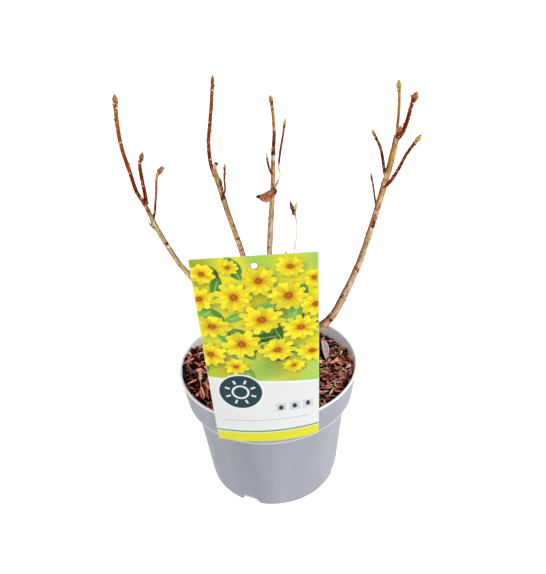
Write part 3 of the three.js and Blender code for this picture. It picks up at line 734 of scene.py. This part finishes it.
def add_shoot(skin, shoot, seed, old, marks=()):
    """A tube of bark with its leaf scars, its bud, and the ring of scars below the bud."""
    stations, along, tangents, normals, binormals = add_tube(skin, shoot, seed, old, marks)
    rng = random.Random(seed + 90)
    spacing = OLD_SCAR_SPACING if old else YOUNG_SCAR_SPACING
    spot, turn = (30 if old else 5.5), rng.uniform(0, TAU)
    end = along[-1] - (8 if old else 1.5)

    def scar(i, size, number):
        outward = spoke(normals[i], binormals[i], turn)
        place = stations[i, :3] + outward * stations[i, 3] * 0.97
        add_scar(skin, place, outward, tangents[i], stations[i, 3] * size, number)

    while spot < end and "stub" not in shoot:
        i = int(np.searchsorted(along, spot))
        scar(i, 0.28 if old else rng.uniform(0.34, 0.52), seed + int(spot))
        spot += spacing * rng.uniform(0.75, 1.25)
        turn += GOLDEN
    if shoot["bud"]:
        length, radius, _ = shoot["bud"]
        tip, way = stations[-1, :3], tangents[-1]
        add_bud(skin, tip - way * 0.3, way, shoot["bud"], seed, spread=shoot["spread"])
        for below in TIP_SCARS if along[-1] > 12 else ():
            i = int(np.searchsorted(along, along[-1] - below))
            turn += GOLDEN
            scar(i, 0.6, seed + i)
        if "twin" in shoot:
            aside = unit(way * 0.93 + np.array([0.34, 0.0, 0.02]))
            add_bud(skin, tip - way * 0.6, aside, (length * 1.1, radius * 0.6, "pale"), seed + 3, 9)


def build_stems(bark, scales):
    for number, (name, shoots) in enumerate(STEMS.items()):
        skin = Skin()
        for k, shoot in enumerate(shoots):
            add_shoot(skin, shoot, 11 * number + k + 1, k == 0, () if k else MARKS.get(name, ()))
        skin.build(name + "_bark", [bark, scales], [name])


# The pot

POT_COLUMNS = 256
DRAIN_SIDES = 32


def notch_rise(angle):
    """How far the foot ring is cut away at an angle."""
    rise = 0.0
    for k in range(NOTCH_COUNT):
        middle = NOTCH_ANGLE + k * TAU / NOTCH_COUNT
        offset = ((angle - middle + math.pi) % TAU - math.pi) * FOOT_RADIUS
        half = NOTCH_WIDTH / 2
        left = smooth(-half, -half + 1.6, offset)
        right = smooth(half, half - 6.5, offset)
        rise = max(rise, NOTCH_HEIGHT * min(left, right))
    return rise


def arc(centre, radius, start, end, steps):
    """Points on a circle in the (radius, height) plane, angles in degrees."""
    angles = np.radians(np.linspace(start, end, steps))
    return [(centre[0] + radius * math.cos(a), centre[1] + radius * math.sin(a)) for a in angles]


def build_pot(material):
    """The turned wall and base, with rounded edges, then the notches and drain holes."""
    inside = FOOT_RADIUS - WALL
    lip_middle = RIM_RADIUS - LIP / 2
    profile = [
        (0.01, 0.0), (PAD_RADIUS - 1, 0.0), *arc((PAD_RADIUS - 1, 1.0), 1.0, -90, 0, 4),
        (PAD_RADIUS + 1.2, BASE_UNDERSIDE - 0.6), (PAD_RADIUS + 2.2, BASE_UNDERSIDE),
        (inside - 1.6, BASE_UNDERSIDE),
        *arc((inside - 1.2, BASE_UNDERSIDE - 0.8), 0.8, 90, 0, 4), (inside, 0.5), (inside + 0.4, 0.0),
        (FOOT_RADIUS - 0.6, 0.0), *arc((FOOT_RADIUS - 0.7, 0.7), 0.7, -90, 0, 4)[1:],
        (FOOT_RADIUS + 0.2, 3.0), (FOOT_RADIUS + 0.6, 6.5), (FOOT_RADIUS + 1.5, 16.0),
        (FOOT_RADIUS + 3.2, 35.0), (FOOT_RADIUS + 5.0, 55.0), (FOOT_RADIUS + 6.8, 74.0),
        (BODY_TOP_RADIUS - 0.6, COLLAR_BOTTOM - 7), (BODY_TOP_RADIUS, COLLAR_BOTTOM - 3.4),
        (BODY_TOP_RADIUS + 1.2, COLLAR_BOTTOM - 2.2), (COLLAR_RADIUS - 1.2, COLLAR_BOTTOM - 0.6),
        *arc((COLLAR_RADIUS - 0.7, COLLAR_BOTTOM + 0.4), 0.9, -70, 0, 4),
        (COLLAR_RADIUS + 0.5, COLLAR_BOTTOM + 3.5), (COLLAR_RADIUS + 1.9, COLLAR_BOTTOM + 14),
        (RIM_RADIUS - 0.6, POT_HEIGHT - 4), (RIM_RADIUS - 0.1, POT_HEIGHT - 2.4),
        *arc((lip_middle, POT_HEIGHT - LIP / 2), LIP / 2, 0, 180, 9),
        (RIM_RADIUS - LIP, POT_HEIGHT - 2.6), (RIM_RADIUS - LIP - 0.2, POT_HEIGHT - 4),
        (COLLAR_RADIUS - WALL + 0.4, COLLAR_BOTTOM + 4), (COLLAR_RADIUS - WALL, COLLAR_BOTTOM + 2),
        (BODY_TOP_RADIUS - WALL, COLLAR_BOTTOM - 3), (inside + 0.6, BASE_TOP + 0.6),
        (inside - 0.2, BASE_TOP),
        (PAD_RADIUS, BASE_TOP), (PAD_RADIUS - 2, 2.2), (0.01, 2.0),
    ]
    skin = Skin()
    points = []
    for radius, height in profile:
        for angle in turns(POT_COLUMNS):
            rise = notch_rise(angle) if radius > inside - 0.1 and height < 7 else 0.0
            lifted = max(height, rise + 0.1 * height) if rise > 0.05 else height
            points.append((*polar(radius, angle), lifted))
    skin.add(points, linear("a8aab5"), grid_faces(len(profile), POT_COLUMNS, closed=True))
    drill_drains(skin.build("pot_moulding", [material], ["pot"]))


def drill_drains(pot):
    """Cuts the round drain holes through the base."""
    skin = Skin()
    ends = [tuple(range(DRAIN_SIDES))[::-1], tuple(range(DRAIN_SIDES, 2 * DRAIN_SIDES))]
    for k in range(DRAIN_COUNT):
        x, y = polar(DRAIN_CIRCLE, (k + 0.5) * TAU / DRAIN_COUNT)
        ring = [polar(DRAIN_RADIUS, angle) for angle in turns(DRAIN_SIDES)]
        levels = (BASE_UNDERSIDE - 1.5, BASE_TOP + 1.5)
        points = [(x + dx, y + dy, level) for level in levels for dx, dy in ring]
        skin.add(points, (0, 0, 0), grid_faces(2, DRAIN_SIDES, closed=True) + ends)
    mesh = bpy.data.meshes.new("drain_cutters")
    mesh.from_pydata((np.vstack(skin.points) * MM).tolist(), [], skin.faces)
    cutter = put("drain_cutters", mesh)
    cut = pot.modifiers.new("drains", "BOOLEAN")
    cut.operation, cut.object, cut.solver = "DIFFERENCE", cutter, "EXACT"
    bpy.context.view_layer.update()
    baked = bpy.data.meshes.new_from_object(pot.evaluated_get(bpy.context.evaluated_depsgraph_get()))
    pot.modifiers.remove(cut)
    pot.data = baked
    bpy.data.objects.remove(cutter)


# The mulch

# Each tone with its share of the chips, from dark bark to bare wood
CHIP_TONES = (
    (0.32, "120201"), (0.12, "481006"), (0.16, "903c2a"), (0.18, "cc7c68"), (0.18, "f8b69c"),
    (0.05, "d87c48"), (0.03, "f0b484"), (0.01, "f8dccc"), (0.03, "4a2c38"),
)
STEM_FEET = [shoots[0]["path"][1] for shoots in STEMS.values()]
LEFT_HEAP = 11
RIGHT_HEAP = 8
CHIP_LIGHT = 1.6
BED_RINGS = 46
BED_SIDES = 120

# Layers of chips: how many, the first one's turn, lengths, widths, thicknesses, rise over the bed, tilt
LOW_LAYERS = (
    (800, 0.4, (4, 10), (2.4, 5.4), (1.2, 2.6), 0.2, 0.35),
    (800, 1.9, (4, 10), (2.0, 5.2), (1.2, 2.6), 1.5, 0.5),
)
TOP_LAYERS = (
    (620, 3.2, (4, 11), (2.2, 5.4), (1.0, 2.6), 3.0, 0.55),
    (420, 5.1, (2, 6), (0.8, 2.0), (0.5, 1.2), 3.8, 0.7),
)

# Chips placed one by one: (x, y), length, width, colour
SHOW_CHIPS = (
    ((-64.4, -20.0), 11, 4.6, "f4bc84"), ((-70.0, -27.6), 8, 4.0, "f0a05c"),
    ((-73.5, 34.7), 8, 4.4, "f0a878"), ((-68.0, 15.4), 10, 4.4, "e8a090"),
    ((-77.0, 2.3), 9, 4.6, "c86c54"), ((-60.8, -40.4), 13, 4.4, "c87860"),
    ((72.4, 21.0), 9, 3.6, "f09858"), ((72.0, 9.1), 11, 3.6, "e4ac64"),
    ((67.6, -0.2), 14, 6.0, "e0a468"), ((54.2, 1.4), 9, 4.6, "b87850"),
    ((47.5, -41.2), 11, 5.0, "d8907c"), ((70.4, -15.2), 6, 2.4, "f0c4a8"),
    ((20.0, -48.0), 11, 4.2, "d8a070"), ((-20.0, 52.0), 12, 4.6, "d8a070"),
    ((36.0, 52.0), 9, 4.0, "c87848"),
)


def clear_of_stems(x, y, margin):
    return all(math.hypot(x - fx, y - fy) > radius + margin for fx, fy, _, radius in STEM_FEET)


def mulch_height(x, y):
    """The mulch lies higher against the pot's left and right sides."""
    left = LEFT_HEAP * smooth(38, 76, -x) * smooth(50, 16, y) * smooth(-70, -40, y)
    right = RIGHT_HEAP * smooth(56, 80, x) * smooth(38, -10, y) * smooth(-70, -30, y)
    return MULCH_TOP + left + right


def wall_reach(angle):
    """How far the mulch goes out at an angle: the pot widens upwards, so a heap reaches further."""
    return MULCH_RADIUS + COLLAR_SLOPE * (mulch_height(*polar(MULCH_RADIUS, angle)) - MULCH_TOP)


def chip_tone(rng):
    codes = [code for _, code in CHIP_TONES]
    return linear(rng.choices(codes, [share for share, _ in CHIP_TONES])[0])


def add_chip(skin, rng, centre, long, wide, thick, tint, tilt=0.5, heading=None):
    """One torn flake of bark: a bent bar whose long edges differ in girth and end raggedly."""
    stations, sides = 6, 5
    turn = Matrix.Rotation(rng.uniform(0, TAU) if heading is None else heading, 3, "Z")
    lean = Matrix.Rotation(rng.gauss(0, tilt), 3, "X") @ Matrix.Rotation(rng.gauss(0, tilt * 0.6), 3, "Y")
    pose = turn @ lean
    bend, twist = rng.uniform(-0.14, 0.2) * long, rng.uniform(-0.9, 0.9)
    taper = (rng.uniform(0.15, 0.9), rng.uniform(0.15, 0.9))
    girths = [rng.uniform(0.6, 1.25) for _ in range(sides)]
    ends = [rng.uniform(-0.16, 0.16) * long for _ in range(sides)]
    # Each long side gets a random brightness: partly the bark's own tone, partly painted shade and painted
    # highlights.
    lights = [rng.choice((0.06, 0.35, 1.3, 3.8)) for _ in range(sides)]
    points, tints, grains = [], [], []
    for i in range(stations):
        s = i / (stations - 1)
        narrow = mix(taper[0], 1, min(1, s * 3)) * mix(taper[1], 1, min(1, (1 - s) * 3))
        for j in range(sides):
            angle = j * TAU / sides + twist * (s - 0.5)
            girth = narrow * girths[j] * rng.uniform(0.8, 1.2)
            along = (s - 0.5) * long + ends[j] * (2 * s - 1) + rng.uniform(-0.05, 0.05) * long
            across = math.cos(angle) * wide / 2 * girth
            up = math.sin(angle) * thick / 2 * girth + bend * (0.25 - (s - 0.5) ** 2)
            spot = pose @ Vector((along, across, up))
            points.append((centre[0] + spot.x, centre[1] + spot.y, centre[2] + spot.z))
            tone = tint * lights[j] * rng.uniform(0.7, 1.4)
            # Tones pushed past full colour are washed towards white: a painted highlight.
            glare = max(1.0, *tone)
            tints.append(mix(tone / glare, 1.0, 0.22 * (1 - 1 / glare)))
            grains.append((along + centre[0] * 3, across + centre[1] * 3, up))
    faces = grid_faces(stations, sides, closed=True)
    faces.append(tuple(range(sides))[::-1])
    faces.append(tuple(range((stations - 1) * sides, stations * sides)))
    skin.add(points, tints, faces, grains)


def add_bed(skin):
    """The crumbly bed between the chips: its dark colour deepened to near black as painted shade in the
    gaps, and darker still in its dips.
    """
    points, tints = [], []
    for i in range(BED_RINGS):
        share = i / (BED_RINGS - 1)
        for angle in turns(BED_SIDES):
            x, y = polar(wall_reach(angle) * share + 0.01, angle)
            lump = noise.fractal(Vector((x, y, 0)) * 0.16, 0.7, 2.1, 4)
            points.append((x, y, mulch_height(x, y) - 0.4 + 1.1 * lump))
            # Painted shade: near black, darkest where the bed dips.
            tints.append(mix(linear("080101"), linear("220904"), smooth(-0.3, 0.7, lump)))
    skin.add(points, tints, grid_faces(BED_RINGS, BED_SIDES, closed=True))


def scatter(skin, rng, count, start, lengths, widths, depths, rise, tilt):
    """Chips on an even spiral over the bed, each nudged, turned and leaned at random."""
    for n in range(count):
        long, wide = rng.uniform(*lengths), rng.uniform(*widths)
        angle = n * GOLDEN + start
        outer = wall_reach(angle)
        ring = min(outer * math.sqrt((n + 0.5) / count) + rng.uniform(-2, 2), outer - 0.36 * wide)
        aligned = ring > outer - 0.42 * long
        heading = angle + math.pi / 2 + rng.gauss(0, 0.12) if aligned else None
        x, y = polar(ring, angle)
        if clear_of_stems(x, y, 0.36 * long):
            z = mulch_height(x, y) + rise + rng.uniform(-1.2, 1.2)
            tint = chip_tone(rng) * CHIP_LIGHT
            add_chip(skin, rng, (x, y, z), long, wide, rng.uniform(*depths), tint, tilt, heading)


def build_mulch(material):
    rng = random.Random(5)
    under = Skin()
    add_bed(under)
    for layer in LOW_LAYERS:
        scatter(under, rng, *layer)
    under.build("mulch_bed", [material], ["bark_mulch"], rounded=False)
    top = Skin()
    for layer in TOP_LAYERS:
        scatter(top, rng, *layer)
    for (x, y), long, wide, code in SHOW_CHIPS:
        add_chip(top, rng, (x, y, mulch_height(x, y) + 4.6), long, wide, 1.5, linear(code), 0.08)
    top.build("mulch_chips", [material], (), rounded=False)


def build_flake(material):
    """The pale dry leaf that lies on the mulch to the right of the label."""
    rows, columns = 24, 9
    points, tints = [], []
    for u, q in sheet(rows, columns):
        belly = math.sin(math.pi * u)
        half = 0.25 + 3.1 * belly**0.75
        cup = 0.9 * q * q - 0.15 * math.cos(q * 12)
        points.append((57.0 + q * half + 1.2 * belly, 8 + u * 27, 115.4 + u * 4.6 + cup + 0.9 * belly))
        edge = max(smooth(0.5, 0.9, abs(q)), smooth(0.86, 1.0, abs(2 * u - 1)))
        tints.append(mix(linear("d6c2ca"), linear("fff0ee"), edge))
    skin = Skin()
    skin.add(points, tints, grid_faces(rows, columns))
    thicken(skin.build("mulch_pale_leaf", [material], ["pale_leaf"]), 0.35)


# The withered leaf

# Its outline from the stalk to the tip: x, upper edge and lower edge
LEAF_OUTLINE = (
    (15.9, 295.9, 294.6), (14.6, 297.3, 292.3), (12.9, 298.8, 290.9), (10.5, 297.0, 288.2),
    (7.3, 295.6, 286.1), (5.4, 294.5, 287.2), (4.4, 294.6, 288.3), (3.6, 293.6, 289.0),
    (2.8, 294.5, 289.9), (1.2, 294.4, 291.5), (-0.7, 293.9, 292.8),
)

# Its stalk: x, y, z and radius
LEAF_STALK = (
    (12.6, -3.2, 300.4, 0.5), (13.2, -5.0, 299.2, 0.45), (13.4, -5.8, 297.6, 0.4),
    (12.4, -6.2, 296.0, 0.35),
)


def build_dry_leaf(material):
    """The curled leaf in front of the centre stem, with rolled, nearly black edges."""
    rows, columns = 40, 23
    points, tints = [], []
    known = np.array(LEAF_OUTLINE)
    for u, q in sheet(rows, columns):
        along = u * (len(known) - 1)
        x, upper, lower = (np.interp(along, range(len(known)), known[:, k]) for k in range(3))
        roll = 2.2 * abs(q) ** 2.6 + 1.2 * smooth(0.86, 1.0, u)
        wave = 0.6 * math.sin(9 * u + 2 * q) + 0.6 * noise.noise(Vector((u * 7, q * 3, 9)))
        z = mix(lower, upper, (q + 1) / 2) + 0.25 * noise.noise(Vector((u * 14, q * 2, 3)))
        points.append((x, -5.0 - 5 * u - roll + wave, z))
        rim = max(smooth(0.62, 0.9, q), smooth(0.72, 0.95, -q) * smooth(0.5, 0.62, u))
        ends = max(smooth(0.8, 0.9, u), smooth(0.17, 0.06, u))
        patch = noise.noise(Vector((u * 9, q * 4, 1)))
        tone = mix(linear("d08a64"), linear("7a3610"), smooth(-0.2, 0.45, patch))
        tone = mix(tone, linear("d6a890"), smooth(0.4, 1.0, -q) * smooth(0.62, 0.4, u) * 0.8)
        tints.append(mix(tone, linear("1a0502"), max(rim, ends) * 0.97))
    skin = Skin()
    skin.add(points, tints, grid_faces(rows, columns))
    stations, _ = resample(LEAF_STALK, 0.5)
    _, normals, binormals = moving_frame(stations[:, :3])
    sides = 8
    ring = []
    for i, (*centre, radius) in enumerate(stations):
        ring += [centre + radius * spoke(normals[i], binormals[i], angle) for angle in turns(sides)]
    skin.add(ring, linear("7a3e14"), grid_faces(len(stations), sides, closed=True))
    thicken(skin.build("dry_leaf_blade", [material], ["dry_leaf"]), 0.3)


# The label

PRINT_STEP = 0.56
CARD_STEP = 1.4
PANEL_TOP = 69
PANEL_SLANT = 0.11
BADGE_AT = (-19.0, 58.0)
BADGE_RADIUS = 17
SUN_RADIUS = 6.2
SIGN_PLACES = (12.0, 23.0, 34.0)
SIGN_HEIGHT = 40
RULE_HEIGHT = 27
TEAL = "123f47"
PAPER = "eef1f0"
WHITE = "ffffff"
BLUR_CODES = ("e6e000", "8fbf4a", "f0e000", "5f9a3a", "e8dc10", "a8cc58", "3c6e24", "efe040", "6a3a14")
LEAF_CODES = ("4f8a34", "7ab04a", "2f5a1e")

# The printed flowers, from back to front: across and up in mm, and radius
BLOSSOMS = (
    (-36, 166, 10), (-18, 170, 8), (24, 168, 11), (40, 158, 9), (-40, 146, 12), (2, 158, 13),
    (-16, 146, 14), (22, 145, 15), (41, 136, 12), (-34, 122, 15), (2, 126, 17), (30, 117, 15),
    (-14, 105, 15), (12, 98, 14), (-38, 96, 13), (38, 94, 13), (-20, 84, 10), (24, 82, 9),
)

# The stake from its top down: y and z
STAKE_LINE = (
    (-86.6, 158), (-85.2, 152), (-82.4, 140), (-81.6, 133), (-81.0, POT_HEIGHT - 2),
    (-79.2, 112), (-77.4, 100), (-70.9, 92), (-69.6, 82),
)


def label_point(across, up, out=0.0):
    """A point of the label's middle surface, across and up in mm from the middle of its bottom edge."""
    x = math.cos(LABEL_TURN) * across - math.sin(LABEL_TURN) * up
    h = math.sin(LABEL_TURN) * across + math.cos(LABEL_TURN) * up
    bend = max((1 - h / LABEL_LENGTH) / LABEL_BEND_RADIUS, 1e-4)
    to_rim = POT_HEIGHT - LABEL_BOTTOM
    if h < to_rim:
        front = mix(LABEL_FOOT_Y, LABEL_RIM_Y, math.sin(max(h, -3) / to_rim * math.pi / 2))
    else:
        front = mix(LABEL_RIM_Y, LABEL_TOP_Y, (h - to_rim) / (LABEL_LENGTH - to_rim))
    turn = bend * x
    return (
        LABEL_SHIFT + math.sin(turn) * (1 / bend + out),
        front + (1 - math.cos(turn)) / bend - out * math.cos(turn),
        LABEL_BOTTOM + h,
    )


def label_sheet(step, out):
    """A grid over the label at a distance in front of its middle surface, with the hang hole left open."""
    columns = round(LABEL_WIDTH / step) + 1
    rows = round(LABEL_LENGTH / step) + 1
    across = np.linspace(-LABEL_WIDTH / 2, LABEL_WIDTH / 2, columns)
    up = np.linspace(0, LABEL_LENGTH, rows)
    flat = np.array([(x, y) for y in up for x in across])
    hole = np.array([0.0, LABEL_LENGTH - LABEL_HOLE_DROP])
    away = np.linalg.norm(flat - hole, axis=1)
    near = (away < LABEL_HOLE_RADIUS + step * 0.5) & (away > 1e-6)
    snapped = hole + (flat[near] - hole) / away[near][:, None] * LABEL_HOLE_RADIUS
    inner = away < LABEL_HOLE_RADIUS - step * 0.5
    flat[near & ~inner] = snapped[~inner[near]]
    faces = [face for face in grid_faces(rows, columns) if not any(inner[i] for i in face)]
    points = [label_point(x, y, out) for x, y in flat]
    return points, faces, flat


def lay(canvas, tone, cover):
    """Puts a tone on the canvas where the cover is 1."""
    cover = cover[:, None]
    canvas[:] = canvas * (1 - cover) + tone * cover


def paint_blossom(canvas, x, y, spot, radius, petals, turn, slant, rng):
    """A daisy-like flower seen at a slant: two rows of slender petals round a domed orange heart."""
    dx, dy = x - spot[0], (y - spot[1]) / slant
    away = np.hypot(dx, dy)
    angle = np.arctan2(dy, dx) - turn
    shade = smooth(1.2, 0.7, np.hypot(dx - 1.0, dy + 1.4) / radius) * 0.45
    lay(canvas, linear("35500c"), shade)
    for row, reach in enumerate((1.0, 0.8)):
        place = ((angle + row * math.pi / petals) % TAU) / TAU * petals
        petal = place.astype(int) % petals
        aside = np.abs((place % 1) * 2 - 1)
        lengths = np.array([rng.uniform(0.86, 1.06) for _ in range(petals)])
        lights = np.array([rng.uniform(0.72, 1.06) for _ in range(petals)])
        edge = radius * reach * lengths[petal] * (1 - 0.5 * aside**2.6)
        tone = mix(linear("e89a00"), linear("f2df00"), smooth(0.15, 0.5, away / radius)[:, None])
        tone = mix(tone, linear("fbf04c"), smooth(0.6, 1.0, away / edge)[:, None] * 0.5)
        crease = 0.4 * smooth(0.6, 1.0, aside) + 0.16 * smooth(0.16, 0.0, aside)
        tone = tone * (lights[petal] * (1 - crease))[:, None]
        lay(canvas, tone, smooth(edge + 0.25, edge - 0.3, away))
    dome = away / (radius * 0.2)
    dots = 0.5 + 0.5 * np.sin(dx * 5.1) * np.sin(dy * 5.7)
    tone = mix(linear("7a3200"), linear("e88c0a"), (dots * smooth(1.1, 0.2, dome))[:, None])
    lay(canvas, tone, smooth(1.06, 0.9, dome))


def paint_leaf(canvas, x, y, spot, length, turn, code):
    """A pointed leaf with a pale midrib."""
    dx, dy = x - spot[0], y - spot[1]
    u = (dx * math.cos(turn) + dy * math.sin(turn)) / length
    v = (-dx * math.sin(turn) + dy * math.cos(turn)) / length
    half = 0.24 * np.sin(np.pi * np.clip(u, 0, 1)) ** 0.8
    cover = smooth(0.03, -0.01, np.abs(v) - half) * (u > 0) * (u < 1)
    tone = mix(linear(code), linear("b8dc60"), smooth(0.03, 0.0, np.abs(v))[:, None] * 0.8)
    lay(canvas, tone * (1 - 0.22 * smooth(0.0, 0.2, v)[:, None]), cover)


def label_design(flat):
    """The generic print: garden daisies, a slanted white panel, a round teal badge and plain care signs."""
    x, y = flat[:, 0], flat[:, 1]
    rng = random.Random(12)
    canvas = np.zeros((len(flat), 3))
    weight = np.full((len(flat), 1), 1e-4)

    def ink(code, cover, share=1.0):
        canvas[:] = mix(canvas, linear(code), share * cover[:, None])

    for n in range(60):
        cx, cy, spread = rng.uniform(-50, 50), rng.uniform(55, 185), rng.uniform(4, 11)
        near = np.exp(-((x - cx) ** 2 + (y - cy) ** 2) / (2 * spread**2))[:, None]
        canvas += near * linear(BLUR_CODES[n % len(BLUR_CODES)])
        weight += near
    canvas /= weight
    for n in range(30):
        spot = (rng.uniform(-44, 44), rng.uniform(72, 172))
        length, turn = rng.uniform(12, 22), rng.uniform(0, TAU)
        paint_leaf(canvas, x, y, spot, length, turn, LEAF_CODES[n % len(LEAF_CODES)])
    for n, (cx, cy, radius) in enumerate(BLOSSOMS):
        paint_blossom(canvas, x, y, (cx, cy), radius, 9 + n % 4, 0.7 * n, rng.uniform(0.7, 0.95), rng)
    canvas *= PICTURE_GAIN
    panel_top = PANEL_TOP - PANEL_SLANT * x
    ink(PAPER, smooth(panel_top + 0.3, panel_top - 0.3, y))
    ink(WHITE, smooth(0.3, -0.3, np.abs(y - panel_top + 1.4) - 0.7))
    dx, dy = x - BADGE_AT[0], y - BADGE_AT[1]
    away = np.hypot(dx, dy)
    ink(WHITE, smooth(BADGE_RADIUS + 1.6, BADGE_RADIUS + 1, away))
    ink(TEAL, smooth(BADGE_RADIUS + 0.3, BADGE_RADIUS - 0.3, away))
    ink(WHITE, smooth(1.0, 0.5, np.abs(away - SUN_RADIUS)))
    rays = np.abs(((np.arctan2(dy, dx) + TAU) % (TAU / 8)) - TAU / 16) * away
    ink(WHITE, smooth(1.0, 0.5, rays) * (away > 9) * (away < 12.8))
    for n, cx in enumerate(SIGN_PLACES):
        square = np.maximum(np.abs(x - cx), np.abs(y - SIGN_HEIGHT)) - 4.2
        ink("d5dcdb", smooth(0.3, -0.3, square))
        pinch = 1.15 + 0.5 * smooth(-1, 3, y - SIGN_HEIGHT)
        drop = np.hypot((x - cx) * pinch, (y - SIGN_HEIGHT + 0.4 - 0.6 * n) * 0.9)
        ink(TEAL, smooth(2.6, 2.1, drop))
    ink("b9c0c0", smooth(0.3, -0.1, np.abs(y - RULE_HEIGHT) - 0.25) * (np.abs(x) < 36))
    for code, height in (("5f9a3a", 15.4), (PAPER, 13.6), ("e8e400", 12.4)):
        ink(code, smooth(height, height - 0.6, y))
    hole = np.hypot(x, y - LABEL_LENGTH + LABEL_HOLE_DROP) - LABEL_HOLE_RADIUS
    ink("6a6a50", smooth(0.9, 0.3, hole), 0.7)
    canvas = np.minimum(canvas, 1.1)
    side = smooth(0.7, 0.3, LABEL_WIDTH / 2 - np.abs(x))[:, None]
    return mix(canvas, linear("f8f6c8"), 0.6 * side) * INK_GAIN


def build_label(printed, card):
    points, faces, flat = label_sheet(PRINT_STEP, LABEL_THICKNESS / 2 + 0.05)
    front = Skin()
    front.add(points, label_design(flat), faces)
    front.build("label_front", [printed], ())

    body = Skin()
    points, faces, _ = label_sheet(CARD_STEP, 0.0)
    body.add(points, linear("f6f6f4"), faces)
    thicken(body.build("label_body", [card], ["label"]), LABEL_THICKNESS)

    stake = Skin()
    stations, along = resample([(0, y, z, LABEL_THICKNESS / 2) for y, z in STAKE_LINE], 1.5)
    columns = 13
    points = []
    for (_, y, z, _), run in zip(stations, along):
        round_off = min(1.0, math.sqrt(max(0.0, run + 0.3) / 6))
        for j in range(columns):
            x = (j / (columns - 1) - 0.5) * STAKE_WIDTH * round_off
            points.append((x, y + 0.35 * math.exp(-((x / 2.2) ** 2)), z))
    stake.add(points, linear("f3f3f1"), grid_faces(len(stations), columns))
    thicken(stake.build("label_stake", [card], ()), LABEL_THICKNESS * 0.8)


# The stage


def build_sky():
    """A white studio sky, brightest at the horizon."""
    world = bpy.data.worlds.new("studio")
    world.use_nodes = True
    nodes, links = world.node_tree.nodes, world.node_tree.links
    place = nodes.new("ShaderNodeTexCoord")
    parts = nodes.new("ShaderNodeSeparateXYZ")
    fade = nodes.new("ShaderNodeMapRange")
    limits = {"From Min": 0.04, "From Max": 0.35, "To Min": 1.0, "To Max": SKY_STRENGTH}
    for key, value in limits.items():
        fade.inputs[key].default_value = value
    links.new(place.outputs["Generated"], parts.inputs[0])
    links.new(parts.outputs["Z"], fade.inputs["Value"])
    links.new(fade.outputs[0], nodes["Background"].inputs["Strength"])
    nodes["Background"].inputs["Color"].default_value = (1, 1, 1, 1)
    bpy.context.scene.world = world


def add_sun(name, strength, origin, spread):
    """A wide, soft light from a direction."""
    light = bpy.data.lights.new(name, "SUN")
    light.energy = strength
    light.angle = math.radians(spread)
    lamp = put(name, light)
    lamp.rotation_euler = (-Vector(origin)).to_track_quat("-Z", "Y").to_euler()


def build_stage():
    mesh = bpy.data.meshes.new("floor")
    signs = ((-1, -1), (1, -1), (1, 1), (-1, 1))
    mesh.from_pydata([(x * FLOOR_REACH, y * FLOOR_REACH, 0) for x, y in signs], [], [(0, 1, 2, 3)])
    mesh.materials.append(floor_material())
    floor = put("floor", mesh)
    build_sky()
    add_sun("key", KEY_STRENGTH, KEY_FROM, 40)
    add_sun("fill", FILL_STRENGTH, FILL_FROM, 60)
    bpy.context.scene.view_settings.view_transform = "Standard"


def build_camera():
    data = bpy.data.cameras.new("camera")
    data.sensor_width = SENSOR
    data.lens = FOCAL_PX / FRAME_HEIGHT_PX * SENSOR
    data.clip_start, data.clip_end = 0.01, 200
    camera = put("camera", data)
    tilt = Matrix.Rotation(math.pi / 2 - CAMERA_DOWN, 4, "X") @ Matrix.Rotation(CAMERA_ROLL, 4, "Z")
    camera.matrix_world = Matrix.Translation(Vector(CAMERA_AT) * MM) @ tilt
    bpy.context.scene.camera = camera


build_camera()
build_stage()
build_pot(pot_material())
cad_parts["soil"].data.materials.clear()
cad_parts["soil"].data.materials.append(peat_material())
build_mulch(chip_material())
build_flake(leaf_material("pale_leaf", 0.6))
build_stems(bark_material(), bud_material())
build_dry_leaf(leaf_material("withered_leaf", 0.7))
build_label(print_material(), card_material())
